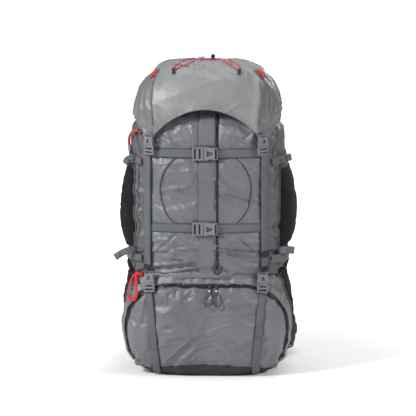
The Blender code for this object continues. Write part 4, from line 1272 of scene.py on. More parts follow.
def make_lid_trim():
    angle = even_angles(LID, 0.62, 420)
    z = lid_edge(angle)
    base = surface_points(LID, angle, z + 0.0005)
    normals = surface_normals(LID, base)
    points = base + (lid_lift(base) * 0.8 - 0.0012)[:, None] * normals
    add_tube("lid_binding", points, 0.0026, BAND_GREY, body="lid", sides=10, closed=True)
    rows = []
    for rise in (0.0070, 0.0100):
        base = surface_points(LID, angle, z + rise)
        n = surface_normals(LID, base)
        rows.append((base + (lid_lift(base) + 0.0004)[:, None] * n, n))
    for side, name in SIDES:
        for part in ("front", "rear"):
            if part == "front":
                height = np.linspace(0.630, 0.760, 70)
                turn = front_angle(LID, side * lid_seam_x(height), height)
            else:
                height = np.linspace(0.615, 0.7745, 70)
                turn = side_angle(side, 30 + 14 * np.clip((height - 0.70) / 0.07, 0, 1))
            height = np.maximum(height, lid_edge(turn) + 0.001)
            base = surface_points(LID, turn, height)
            n = surface_normals(LID, base)
            p = base + (lid_lift(base) * rounded_top(LID, height) + 0.0003)[:, None] * n
            add_tube(f"lid_piping_{part}_{name}", p, 0.0015, DARK_GREY, body="lid")
            across = np.cross(directions(p), n)
            rows += [(p + s * 0.0046 * across + 0.0003 * n, n) for s in (-1, 1)]
    add_thread("lid_thread", rows, body="lid")
    for side, name in SIDES:
        height = np.linspace(0.7425, 0.7585, 14)
        base, normals = on_front(LID, side * 0.945 * profile_rows(LID, height)[0], height)
        points = base + (lid_lift(base) * rounded_top(LID, height) + 0.0014)[:, None] * normals
        width = np.interp(height, [0.7425, 0.7585], [0.0170, 0.0220])
        patch = web_mesh(f"red_tab_{name}", points, normals, width, thickness=0.0022)
        add_piece(f"red_tab_{name}", patch, RED_WEB, body="lid")
        lines = [(points[2:-2] + s * 0.0065 * np.cross(directions(points), normals)[2:-2] + 0.0027 * normals[2:-2],
                  normals[2:-2])
                 for s in (-1, 1)]
        add_thread(f"red_tab_thread_{name}", lines, RED_THREAD, body="lid")


def make_lid_cord():
    plan = [(0.006, 0.010), (-0.010, 0.012), (-0.034, 0.004), (-0.060, -0.030), (-0.077, -0.066), (-0.081, -0.078),
            (-0.075, -0.081), (-0.055, -0.064), (-0.025, -0.030), (0.004, -0.012), (0.020, -0.011), (0.034, -0.030),
            (0.056, -0.062), (0.074, -0.081), (0.082, -0.080), (0.081, -0.068), (0.066, -0.034), (0.044, 0.002),
            (0.028, 0.012), (0.016, 0.012)]
    line = smooth_path([(x, y, 0) for x, y in plan], 8)
    height = np.array([top_of_lid(x, y) for x, y, _ in line])
    line[:, 2] = height
    lift = lid_lift(line) * rounded_top(LID, height)
    line[:, 2] = height + np.maximum(lift, 0) + 0.0022
    add_tube("bungee", line, 0.0015, RED_CORD, body="lid", replaces=["lid_cord"], sides=10)
    for name, x, y in (("left", -0.080, -0.080), ("right", 0.080, -0.082)):
        z = top_of_lid(x, y)
        here = np.array([x, y, z])
        normal = surface_normals(LID, here[None])[0]
        here = here + (max(float(lid_lift(here)), 0) + 0.0008) * normal
        down = np.cross(normal, [1.0, 0, 0])
        down = down if down[2] < 0 else -down
        steps = ((0.016, 0.0), (0.009, 0.0006), (0.003, 0.0026), (-0.0015, 0.0046), (0.0015, 0.0064), (0.007, 0.0042),
                 (0.013, 0.0026))
        path = smooth_path(np.array([here + down * s + normal * h for s, h in steps]), 5)
        along = directions(path)
        up = unit(np.cross(np.broadcast_to((1.0, 0, 0), along.shape), along))
        make_strap(f"cord_hook_{name}", path, up, 0.008, WEB_DARK, body="lid", sewn=())


make_straps()
make_keepers()
make_side_straps()
make_zips()
make_welt()
make_seams()
make_lid_trim()
make_lid_cord()


# --- Pockets --------------------------------------------------------------------------------------------------


def pocket_grid(profile, lift_of, side, degrees, z, height, seed, front_edge=None):
    """A pocket's cloth as a grid: degrees round the bag by height, standing off the bag's own cloth."""
    first = np.interp(z, *front_edge) if front_edge else np.full(len(z), degrees[0])
    share = (degrees - degrees[0]) / (degrees[-1] - degrees[0])
    turn = side_angle(side, first[:, None] + share[None] * (degrees[-1] - first[:, None]))
    level = np.broadcast_to(z[:, None], turn.shape)
    base = surface_points(profile, turn, level)
    normals = surface_normals(profile, base)
    u = np.linspace(0, 1, len(degrees))[None]
    v = np.linspace(0, 1, len(z))[:, None]
    stand = height(u, v)
    top = near(v, 1, 0.10)
    gathers = 0.0013 * top * np.sin(u * 120 + 3 * smooth_noise(base * 30, seed))
    folded = 0.0045 * folds(base, (14, 14, 24), seed, 1.5) * np.sin(math.pi * u) * np.sin(math.pi * v)
    lift = lift_of(base) + 0.0010 + stand + (gathers + folded) * np.clip(stand / 0.008, 0, 1)
    return base + lift[..., None] * normals


def add_pocket(name, points, side, cloth, node, binding):
    normals = outward_normals(points, side)
    add_piece(name, slab_mesh(name, points, normals, 0.0014), cloth, replaces=[node])
    hem = points[-1] + 0.0010 * normals[-1]
    add_piece(f"{name}_hem", web_mesh(f"{name}_hem", hem - (0, 0, 0.004), normals[-1], 0.011, thickness=0.0016),
              WEB_DARK)
    for edge, column in (("front", 0), ("rear", -1)):
        line = points[:, column] + 0.0008 * normals[:, column]
        add_tube(f"{name}_{edge}_piping", line, 0.0017, binding)
    low = points[0] + 0.0008 * normals[0]
    add_tube(f"{name}_foot_piping", low, 0.0017, binding)
    lines = [(hem - (0, 0, dz) + 0.0023 * normals[-1], normals[-1]) for dz in (0.0005, 0.0075)]
    add_thread(f"{name}_thread", lines)


def outward_normals(points, side):
    normals = grid_normals(points, False)
    return normals if (normals[..., 0] * side).mean() > 0 else -normals


def full_pocket(u, v):
    return 0.026 * (np.sin(math.pi * u) * np.sin(math.pi * np.clip(v, 0, 1) ** 0.62)).clip(0) ** 0.6


def slim_pocket(u, v):
    return 0.0050 * (np.sin(math.pi * u) * np.sin(math.pi * v)).clip(0) ** 0.5


def flat_mesh(u, v):
    return 0.0010 + 0 * u * v


def make_pockets():
    for side, name in SIDES:
        points = pocket_grid(MAIN_BAG, main_lift, side, np.linspace(-27, 62, 74), np.linspace(0.320, 0.526, 66),
                             full_pocket, 90 + side)
        add_pocket(f"mesh_pocket_{name}", points, side, MESH, f"side_pocket_{name}", DARK_GREY)
        points = pocket_grid(BOTTOM_BAG, bottom_lift, side, np.linspace(-9, 55, 56), np.linspace(0.032, 0.2500, 64),
                             slim_pocket, 95 + side,
                             ([0.032, 0.130, 0.190, 0.250], [-9, -9, -14, -31]))
        add_pocket(f"low_pocket_{name}", points, side, MESH, f"bottle_pocket_{name}", DARK_GREY)
        points = pocket_grid(MAIN_BAG, main_lift, side, np.linspace(-12, 58, 50), np.linspace(0.2520, 0.3200, 24),
                             flat_mesh, 99,
                             ([0.252, 0.290, 0.320], [-31, -17, -12]))
        add_piece(f"waist_mesh_{name}", slab_mesh("waist_mesh", points, outward_normals(points, side), 0.0012), MESH)


# --- Padded pieces --------------------------------------------------------------------------------------------


def ring_pad(name, centres, across, out, widths, thicknesses, sides=28):
    """A padded strip as rings along a path: across is its width direction and out points off its back face."""
    turn = np.linspace(0, 2 * math.pi, sides, endpoint=False)
    c, s = np.cos(turn), np.sin(turn)
    roundness = 2 / 3.0
    a = np.sign(c) * np.abs(c) ** roundness
    b = np.sign(s) * np.abs(s) ** roundness
    rings = (centres[:, None] + (widths[:, None] / 2 * a)[..., None] * across[:, None]
             + (thicknesses[:, None] / 2 * (b + 1))[..., None] * out[:, None])
    middle_first, middle_last = rings[0].mean(0), rings[-1].mean(0)
    ends = [middle_first + (rings[0] - middle_first) * k for k in (0.3, 0.75)]
    tails = [middle_last + (rings[-1] - middle_last) * k for k in (0.75, 0.3)]
    grid = np.concatenate([np.array(ends), rings, np.array(tails)])
    return capped_mesh(name, grid)


PAD_PRESSURE, CLOTH_FRAMES = 4.0, 20


def swollen(name, mesh, cap, voxel):
    """The mesh blown up a little as cloth, for a pad's fullness, with each point moved at most cap."""
    scene = bpy.context.scene
    obj = bpy.data.objects.new(name, mesh)
    scene.collection.objects.link(obj)
    remesh = obj.modifiers.new("remesh", "REMESH")
    remesh.mode, remesh.voxel_size = "VOXEL", voxel
    even = bpy.data.meshes.new_from_object(obj.evaluated_get(bpy.context.evaluated_depsgraph_get()))
    obj.modifiers.clear()
    obj.data = even
    start = vectors_of(even.vertices, "co")
    cloth = obj.modifiers.new("cloth", "CLOTH")
    cloth.settings.use_pressure = True
    cloth.settings.uniform_pressure_force = PAD_PRESSURE
    cloth.settings.effector_weights.gravity = 0
    cloth.settings.quality = 4
    cloth.collision_settings.use_collision = False
    cloth.point_cache.frame_start, cloth.point_cache.frame_end = 1, CLOTH_FRAMES
    for frame_number in range(1, CLOTH_FRAMES + 1):
        scene.frame_set(frame_number)
    puffed = bpy.data.meshes.new_from_object(obj.evaluated_get(bpy.context.evaluated_depsgraph_get()))
    scene.frame_set(1)
    move = vectors_of(puffed.vertices, "co") - start
    reach = np.maximum(np.linalg.norm(move, axis=1, keepdims=True), 1e-9)
    start = start + move * np.minimum(1, cap / reach)
    even.vertices.foreach_set("co", start.ravel())
    even.update()
    bpy.data.objects.remove(obj)
    return even


def box_uvs(mesh, first, second):
    """A cloth map, in metres, from two directions."""
    layer = mesh.uv_layers.new(name="cloth")
    corner = np.zeros(len(mesh.loops), np.int32)
    mesh.loops.foreach_get("vertex_index", corner)
    p = vectors_of(mesh.vertices, "co")[corner]
    layer.data.foreach_set("uv", np.stack([p @ np.asarray(first, float), p @ np.asarray(second, float)], -1).ravel())


def padded_piece(name, mesh, body, replaces, chosen, first, second):
    """A pad, mapped along first and second. chosen picks the faces of its second cloth."""
    box_uvs(mesh, first, second)
    paint(mesh, chosen(vectors_of(mesh.polygons, "center"), vectors_of(mesh.polygons, "normal")))
    cloths = [SPACER, PAD_CLOTH] if body == PACK else [PAD_CLOTH, SPACER]
    piece = add_piece(name, mesh, cloths, body=body, replaces=[replaces], subdivide=1)


def inner_side(towards, least):
    """Picks the faces that look this way."""
    def chosen(_, normal):
        return normal @ towards > least

    return chosen


def panel_rim(centre, _):
    """Picks the back panel's borders, its front face and its middle channel."""
    x = np.abs(centre[:, 0])
    return (x > 0.100) | (centre[:, 1] < 0.1270) | (x < 0.013)


def make_back_panel():
    """Two tall channels and a lumbar pad on one panel, with an air channel down the middle."""
    half, low, high = 0.1105, 0.0455, 0.5895
    u, v = np.meshgrid(np.linspace(-1, 1, 64), np.linspace(0, 1, 150))
    x = u * half * (1 - 0.10 * np.clip(v - 0.55, 0, 1) ** 1.2)
    z = low + v * (high - low)
    edge = (1 - np.abs(u) ** 6) ** 0.5 * (1 - np.abs(2 * v - 1) ** 24) ** 0.5
    columns = np.abs(np.sin(math.pi * np.abs(u))) ** 0.6
    channel = 1 - 0.75 * np.exp(-((u / 0.14) ** 2))
    bars = 1 - 0.55 * np.maximum.reduce([np.exp(-(((v - k) / 0.012) ** 2)) for k in (0.30, 0.52, 0.74)])
    lumbar = np.exp(-(((v - 0.15) / 0.13) ** 2)) * np.clip(1.05 - u**2, 0, 1)
    stand = 0.0030 + edge * (0.0075 * columns * channel * bars + 0.0150 * lumbar)
    wrinkle = 0.0009 * folds(np.stack([x, 0 * x, z], -1), (30, 30, 30), 7, 1.2) * edge
    front = np.stack([x, 0.1252 + 0 * x, z], -1)
    rear = np.stack([x, 0.1262 + stand + wrinkle, z], -1)
    rows, columns_n = x.shape
    vertices = np.concatenate([rear.reshape(-1, 3), front.reshape(-1, 3)])
    top = np.arange(rows * columns_n).reshape(rows, columns_n)
    bottom = top + rows * columns_n
    faces = []
    for i in range(rows - 1):
        for j in range(columns_n - 1):
            faces.append((top[i, j], top[i, j + 1], top[i + 1, j + 1], top[i + 1, j]))
            faces.append((bottom[i, j], bottom[i + 1, j], bottom[i + 1, j + 1], bottom[i, j + 1]))
    rim = list(top[0]) + list(top[1:, -1]) + list(top[-1, -2::-1]) + list(top[-2:0:-1, 0])
    rim_low = list(bottom[0]) + list(bottom[1:, -1]) + list(bottom[-1, -2::-1]) + list(bottom[-2:0:-1, 0])
    for k in range(len(rim)):
        j = (k + 1) % len(rim)
        faces.append((rim[k], rim_low[k], rim_low[j], rim[j]))
    mesh = mesh_of("back_pad", vertices, [tuple(int(i) for i in f) for f in faces])
    fix_normals(mesh)
    padded_piece("back_pad", mesh, PACK, "back_panel", panel_rim, (1, 0, 0), (0, 0.3, 1))
    edge_line = vertices[[int(i) for i in rim]] + (0, 0.0004, 0)
    add_tube("back_pad_binding", edge_line, 0.0022, WEB_DARK, closed=True)
    turn = np.linspace(0, 2 * math.pi, 2001) - math.pi / 2
    ring = np.stack([np.cos(turn), 0 * turn, np.sin(turn)], -1)
    ring = np.sign(ring) * np.abs(ring) ** (1 / 9)
    wall = resampled(ring * (0.1126, 0, 0.2738) + (0, 0.1178, 0.3176), 0.005)
    outward = np.cross(directions(wall), (0.0, 1.0, 0.0))
    add_piece("back_gusset", web_mesh("back_gusset", wall, outward, 0.0200, thickness=0.0012), PAD_CLOTH)
    lines = []
    for k in (0.30, 0.52, 0.74):
        row = int(k * (rows - 1))
        for part in (slice(4, 27), slice(37, 60)):
            lines.append((rear[row, part] + (0, 0.0006, 0), np.broadcast_to((0.0, 1.0, 0.0), rear[row, part].shape)))
    for column in (27, 36, 3, 60):
        lines.append((rear[8:-8, column] + (0, 0.0006, 0), np.broadcast_to((0.0, 1.0, 0.0), rear[8:-8, column].shape)))
    add_thread("back_pad_thread", lines)


SHOULDER_ROUTE = [(0.056, 0.1430, 0.566), (0.060, 0.1720, 0.550), (0.068, 0.1950, 0.500), (0.084, 0.2040, 0.440),
                  (0.100, 0.1960, 0.370), (0.116, 0.1800, 0.310), (0.130, 0.1640, 0.262)]
HIP_ROUTE = [(0.121, 0.1480, 0.078), (0.150, 0.1520, 0.072), (0.174, 0.1700, 0.066), (0.189, 0.2050, 0.062),
             (0.189, 0.2500, 0.058), (0.172, 0.2880, 0.056)]


HIP_SPLAY, SPLAY_SHARES = 0.0145, np.array([0, 0.1, 0.6, 1.0, 1.0, 0.9])


def mirrored(points, side):
    return np.asarray(points, float) * (side, 1, 1)


def make_shoulder_straps():
    for side, name in SIDES:
        route = smooth_path(mirrored(SHOULDER_ROUTE, side), 8)
        along = directions(route)
        across = unit(np.cross(along, (0.0, 1.0, 0.2)))
        out = np.cross(across, along)
        out *= np.sign(out[:, 1:2] + 1e-9)
        share = np.linspace(0, 1, len(route))
        width = np.interp(share, [0, 0.05, 0.5, 0.93, 1.0], [0.040, 0.059, 0.057, 0.044, 0.030])
        thick = np.interp(share, [0, 0.05, 0.5, 0.94, 1.0], [0.006, 0.0088, 0.0088, 0.0072, 0.005])
        mesh = swollen(f"shoulder_{name}", ring_pad("pad", route, across, out, width, thick), cap=0.0026, voxel=0.0042)
        padded_piece(f"shoulder_pad_{name}", mesh, "harness", f"shoulder_strap_{name}",
                     inner_side(-out[len(out) // 2], 0.25), (1, 0, 0), (0, 0.4, 1))
        for edge in (-1, 1):
            line = route + (edge * (width / 2 + 0.0002))[:, None] * across + (thick / 2)[:, None] * out
            add_tube(f"shoulder_edge_{name}_{'in' if edge * side < 0 else 'out'}", line, 0.0020, WEB_DARK,
                      body="harness")
        top = route + (thick + 0.0030)[:, None] * out
        part = slice(5, len(route) - 2)
        make_strap(f"shoulder_runner_{name}", top[part], out[part], 0.020, WEB, body="harness",
                   sewn=(0.03, 0.30, 0.62, 0.95))
        lines = [(route + (edge * (width / 2 - 0.007))[:, None] * across + (thick + 0.0021)[:, None] * out, out)
                 for edge in (-1, 1)]
        add_thread(f"shoulder_thread_{name}", lines, body="harness")
        k = 14
        make_strap(f"shoulder_ladder_{name}", route[-3:] + (thick[-3:] + 0.0012)[:, None] * out[-3:], out[-3:], 0.024,
                   WEB,
                   body="harness", sewn=())
        start = np.array([side * 0.083, 0.122, 0.617])
        end = route[k] + (thick[k] + 0.0052) * out[k]
        middle = (start + end) / 2 + (0, 0.0020, -0.0045)
        lifter = smooth_path(np.array([start, middle, end]), 14)
        n = facing(directions(lifter), (1.0, 0, 0), 2)
        webbing = add_piece(f"load_lifter_{name}", web_mesh("lifter", lifter, n, 0.015), WEB, body=None)
        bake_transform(webbing)


def make_shoulder_webbing():
    for side, name in SIDES:
        start, end = mirrored((0.1305, 0.1640, 0.2590), side), mirrored((0.1500, 0.1160, 0.1850), side)
        middle = (start + end) / 2 + (0, 0.003, -0.006)
        line = smooth_path(np.array([start, middle, end]), 16)
        normals = facing(directions(line), (1.0, 0, 0), 1)
        piece = add_piece(f"adjuster_web_{name}", web_mesh("adjuster", line, normals, NARROW), WEB, body=None,
                          replaces=[f"shoulder_webbing_{name}"])
        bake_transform(piece)


def make_sternum():
    for side, name in SIDES:
        inner = -0.012 if side < 0 else 0.031
        x = np.linspace(side * 0.088, inner, 30)
        t = (x - inner) / (side * 0.088 - inner)
        line = np.stack([x, 0.2168 + 0.0016 * np.sin(math.pi * t) - 0.0004, 0.440 - 0.0012 * np.sin(math.pi * t)], -1)
        make_strap(f"chest_web_{name}", line, np.broadcast_to((0.0, 1.0, 0.0), line.shape), NARROW, WEB,
                   f"sternum_strap_{name}",
                   body="sternum", sewn=(0.12,))


def make_hip_belt():
    heights = np.array([0.112, 0.112, 0.110, 0.106, 0.102, 0.099, 0.096, 0.091, 0.084, 0.072, 0.052])
    for side, name in SIDES:
        body = f"hip_{name}"
        splay = HIP_SPLAY * max(side, 0)
        route = smooth_path(mirrored(np.array(HIP_ROUTE) + splay * SPLAY_SHARES[:, None] * (1, 0, 0), side), 8)
        along = directions(route)
        up = np.broadcast_to((0.0, 0.0, 1.0), route.shape)
        out = unit(np.cross(along, up) * side)
        if out[len(out) // 2, 0] * side < 0:
            out = -out
        share = np.linspace(0, 1, len(route))
        height = np.interp(share, np.linspace(0, 1, len(heights)), heights) - 0.006
        height[-2:] *= (0.90, 0.72)
        thick = np.interp(share, [0, 0.06, 0.5, 0.92, 1], [0.0080, 0.0108, 0.0118, 0.0090, 0.0050])
        mesh = swollen(body, ring_pad("pad", route, up, out, height, thick, sides=40), cap=0.0028, voxel=0.0048)
        padded_piece(f"hip_pad_{name}", mesh, body, f"hip_wing_{name}",
                     inner_side(-out[len(out) // 2], 0.3), (0, 1, 0), (0, 0, 1))
        for edge in (-1, 1):
            line = route + (edge * height / 2)[:, None] * up + (thick / 2)[:, None] * out
            add_tube(f"hip_edge_{name}_{'low' if edge < 0 else 'high'}", line, 0.0021, WEB_DARK,
                      body=body)
        lines = []
        for share_up in (-0.34, 0.34):
            rise = (share_up * height[2:-2])[:, None] * up[2:-2]
            lines.append((route[2:-2] + rise + (thick[2:-2] + 0.0026)[:, None] * out[2:-2], out[2:-2]))
        add_thread(f"hip_thread_{name}", lines, body=body)
        belt = route[10:] + (thick[10:] + 0.0030)[:, None] * out[10:]
        make_strap(f"hip_runner_{name}", belt, out[10:], 0.025, WEB_DARK, body=body, sewn=(0.06, 0.80))
        tail = [(0.1700 + 0.9 * splay, 0.2910, 0.056), (0.150 + 0.5 * splay, 0.3150, 0.054), (0.118, 0.3290, 0.052),
                (0.0660, 0.3320, 0.051)]
        line = smooth_path(mirrored(tail, side), 10)
        n = facing(directions(line), (0.0, 0, 1.0), 1)
        make_strap(f"hip_web_{name}", line, n, WIDE, WEB, f"hip_webbing_{name}", body=body, sewn=(0.05,))


make_pockets()
make_back_panel()
make_shoulder_straps()
make_shoulder_webbing()
make_sternum()
make_hip_belt()


# --- Buckles: local Y runs from the male half to the female half, and local Z away from the pack --------------


def plate_mesh(loops, low, high, bevel=0.0007):
    """A flat plate with rounded edges: the first loop of (x, y) is its outline and the others are holes."""
    curve = bpy.data.curves.new("plate", "CURVE")
    curve.dimensions, curve.fill_mode = "2D", "BOTH"
    curve.extrude, curve.bevel_depth, curve.bevel_resolution = (high - low) / 2 - bevel, bevel, 2
    curve.offset = -bevel
    for loop in loops:
        spline = curve.splines.new("POLY")
        spline.points.add(len(loop) - 1)
        for point, (x, y) in zip(spline.points, loop):
            point.co = (x, y, 0, 1)
        spline.use_cyclic_u = True
    obj = bpy.data.objects.new("plate", curve)
    bpy.context.scene.collection.objects.link(obj)
    graph = bpy.context.evaluated_depsgraph_get()
    mesh = bpy.data.meshes.new_from_object(obj.evaluated_get(graph))
    mesh.transform(Matrix.Translation((0, 0, (low + high) / 2)))
    mesh.materials.clear()
    bpy.data.objects.remove(obj)
    fix_normals(mesh, merge=1e-5)
    return mesh


def rounded(loop, cut=0.0012):
    """The loop with each corner cut twice, so that it reads as a radius."""
    points = np.asarray(loop, float)
    result = []
    for k, corner in enumerate(points):
        for other, first in ((points[k - 1], True), (points[(k + 1) % len(points)], False)):
            gap = other - corner
            near_by = corner + gap * min(cut / max(np.hypot(*gap), 1e-9), 0.45)
            soft = corner + gap * min(0.35 * cut / max(np.hypot(*gap), 1e-9), 0.15)
            result += [near_by, soft] if first else [soft, near_by]
    return [tuple(p) for p in result]


def slot_loop(centre, width, height):
    return [(-width / 2, centre - height / 2), (width / 2, centre - height / 2), (width / 2, centre + height / 2),
            (-width / 2, centre + height / 2)]


def mirrored_loop(right):
    return right + [(-x, y) for x, y in right[::-1]]


def female_meshes(web):
    """The socket: two faces, the upper with a wide arrow window, held apart by a back wall, and a ladder bar."""
    half, length, deep = (web + 0.008) / 2, 1.30 * web + 0.001, 0.22 * web + 0.0042
    neck = web / 2 + 0.0022
    low, high = -deep / 2, deep / 2
    outline = rounded(mirrored_loop([(half, 0.0), (half, 0.26 * length), (half - 0.0022, 0.34 * length),
                                     (half - 0.0024, 0.52 * length), (neck, 0.76 * length), (neck, length)]), 0.0016)
    arrow = rounded([(-0.27 * web, 0.16 * length), (0.27 * web, 0.16 * length), (0.10 * web, 0.60 * length),
                     (-0.10 * web, 0.60 * length)], 0.0016)
    bar = rounded(slot_loop(0.875 * length, web + 0.0006, 0.0042), 0.0008)
    wall = rounded(mirrored_loop([(neck - 0.0002, 0.70 * length), (neck - 0.0002, 0.79 * length)]), 0.0006)
    lip = rounded(mirrored_loop([(half - 0.0004, 0.004), (half - 0.0004, 0.0068)]), 0.0006)
    third = deep * 0.27
    return [
        plate_mesh([outline, arrow, bar], high - third, high),
        plate_mesh([outline, bar], low, low + third),
        plate_mesh([wall], low + third * 0.6, high - third * 0.6),
        plate_mesh([lip], high - 0.0004, high + 0.0006, 0.0004),
    ]


def male_meshes(web):
    """The tongue: a ladder frame with two slots, a round thumb rib, two springy arms and a guide between them."""
    half, length, reach = (web + 0.008) / 2, 1.10 * web + 0.001, 0.66 * (1.30 * web + 0.001)
    thick = 0.16 * web
    frame = rounded(mirrored_loop([(half, -length), (half, -0.0008)]), 0.0018)
    slots = [rounded(slot_loop(-share * length, web + 0.0004, 0.0040), 0.0008) for share in (0.36, 0.76)]
    arm_out = half - 0.0028
    arms = [
        rounded([(s * (arm_out - 0.0036), -0.002), (s * (arm_out - 0.0004), -0.002),
                 (s * (arm_out - 0.0002), 0.40 * reach),
                 (s * (arm_out + 0.0010), 0.55 * reach), (s * arm_out, 0.90 * reach), (s * (arm_out - 0.0034), reach),
                 (s * (arm_out - 0.0042), 0.60 * reach)], 0.0010)
        for s in (-1, 1)
    ]
    guide = rounded([(-0.0022, -0.002), (0.0022, -0.002), (0.0016, 0.82 * reach), (-0.0016, 0.82 * reach)], 0.0008)
    meshes = [plate_mesh([frame, *slots], -thick * 0.72, thick * 0.72)]
    meshes += [plate_mesh([loop], -thick / 2, thick / 2) for loop in (*arms, guide)]
    for share in (0.10, 0.56, 0.94):
        rail = rounded(slot_loop(-share * length, web + 0.003, 0.0030), 0.0009)
        meshes.append(plate_mesh([rail], thick * 0.3, thick * 0.72 + 0.0011, 0.0006))
    return meshes


def add_half(name, mesh, origin, along, normal, body, node):
    """One half of a buckle, on its body, in place of the CAD half."""
    y_axis = Vector(along).normalized()
    x_axis = y_axis.cross(Vector(normal)).normalized()
    placing = Matrix((x_axis, y_axis, x_axis.cross(y_axis))).transposed().to_4x4()
    placing.translation = Vector(origin)
    mesh.transform(placing)
    mesh.shade_smooth()
    mesh.set_sharp_from_angle(angle=math.radians(38))
    return add_piece(name, mesh, BUCKLE, body=body, smooth=False, replaces=[node])


def add_buckle(name, web, origin, along, normal, female, male, nodes):
    add_half(f"{name}_socket", joined(name, female_meshes(web)), origin, along, normal, female, nodes[0])
    add_half(f"{name}_tongue", joined(name, male_meshes(web)), origin, along, normal, male, nodes[1])


def make_buckles():
    for level, z, joint in (("upper", UPPER_STRAP_Z, "upper"), ("lower", LOWER_STRAP_Z, "middle")):
        origin, normal = on_front(MAIN_BAG, np.array([BUCKLE_X]), np.array([z]), 0.012)
        add_buckle(f"front_clip_{level}", WIDE, origin[0], (1, 0, 0), normal[0], PACK, f"{joint}_buckle_tongue",
                   (f"front_buckle_{level}_female", f"front_buckle_{level}_male"))
    for side, name in SIDES:
        _, normal = on_front(MAIN_BAG, np.array([side * 0.140]), np.array([0.580]))
        add_buckle(f"lid_clip_{name}", NARROW, (side * 0.140, -0.1210, 0.580), (0, -0.07943, 0.99684), normal[0],
                   "lid", PACK, (f"lid_buckle_female_{name}", f"lid_buckle_male_{name}"))
        _, normal = on_front(BOTTOM_BAG, np.array([side * 0.139]), np.array([0.215]))
        add_buckle(f"low_clip_{name}", NARROW, (side * 0.140, -0.1205, 0.238), (0, 0.2, 1), normal[0], PACK,
                   f"bottom_buckle_tongue_{name}", (f"lower_buckle_female_{name}", f"lower_buckle_male_{name}"))
    add_buckle("chest_clip", NARROW, (0, 0.2222, 0.440), (1, 0, 0), (0, 1, 0), "sternum", "sternum",
               ("sternum_buckle_female", "sternum_buckle_male"))
    add_half("hip_clip_tongue", joined("hip_clip", male_meshes(WIDE)), (-0.030, 0.3376, 0.051), (1, 0, 0), (0, 1, 0),
             "hip_left", "hip_buckle_male")
    add_half("hip_clip_socket", joined("hip_clip", female_meshes(WIDE)), (0.030, 0.3376, 0.051), (1, 0, 0), (0, 1, 0),
             "hip_right", "hip_buckle_female")


# --- Small parts ----------------------------------------------------------------------------------------------


def lathe_mesh(name, profile, origin, axis, sides=28):
    """A solid turned about an axis: profile is (radius, distance along the axis)."""
    axis = np.asarray(axis, float) / np.linalg.norm(axis)
    first = np.cross(axis, (0.31, 0.52, 0.80))
    first /= np.linalg.norm(first)
    second = np.cross(axis, first)
    turn = np.linspace(0, 2 * math.pi, sides, endpoint=False)
    rows = [np.asarray(origin) + axis * h + r * (np.cos(turn)[:, None] * first + np.sin(turn)[:, None] * second)
            for r, h in profile]
    return capped_mesh(name, np.array(rows))


def ring_points(centre, radius, normal, up, count=48):
    """Points on a circle, starting at up."""
    normal, up = np.asarray(normal, float), np.asarray(up, float)
    side = np.cross(normal, up)
    turn = np.linspace(0, 2 * math.pi, count, endpoint=False)
    return np.asarray(centre) + radius * (np.cos(turn)[:, None] * up + np.sin(turn)[:, None] * side)


def make_lock_and_toggle():
    """The dark cord lock on the top of the lid, with its button, and the pale toggle beside it."""
    seat = np.array([0.0125, 0.0, top_of_lid(0.0125, 0) + 0.0098])
    barrel = lathe_mesh("barrel",
                        [(0.0030, -0.0085), (0.0045, -0.0084), (0.0052, -0.0076), (0.0052, -0.0050), (0.0047, -0.0044),
                                   (0.0047, 0.0040), (0.0052, 0.0046), (0.0052, 0.0076), (0.0047, 0.0084),
                         (0.0040, 0.0084),
                                   (0.0037, 0.0078), (0.0037, 0.0030)], seat, (0, 1, 0))
    foot = lathe_mesh("foot",
                      [(0.0034, 0.0), (0.0040, -0.0008), (0.0040, -0.0045), (0.0050, -0.0064), (0.0046, -0.0076)],
                      seat, (0, 0, 1), sides=20)
    mesh = joined("lock", [barrel, foot])
    add_piece("lid_lock", mesh, BLACK_PLASTIC, body="lid", replaces=["cord_lock"])
    button = lathe_mesh("button",
                        [(0.0026, 0.0035), (0.0032, 0.0040), (0.0032, 0.0112), (0.0028, 0.0122), (0.0018, 0.0126)],
                        seat, (0, 1, 0))
    add_piece("lid_lock_button", button, BLACK_PLASTIC, body="lock_button", replaces=["cord_lock_button"])
    x = -0.0175
    place = (x, 0.012, top_of_lid(x, 0.012) + 0.0048)
    toggle = lathe_mesh("toggle",
                        [(0.0018, -0.0080), (0.0036, -0.0076), (0.0043, -0.0060), (0.0036, -0.0030), (0.0040, 0.0),
                                   (0.0036, 0.0030), (0.0043, 0.0060), (0.0036, 0.0076), (0.0018, 0.0080)], place,
                        (1, 0.15, 0.12))
    add_piece("lid_toggle", toggle, PALE_PLASTIC, body="lid")


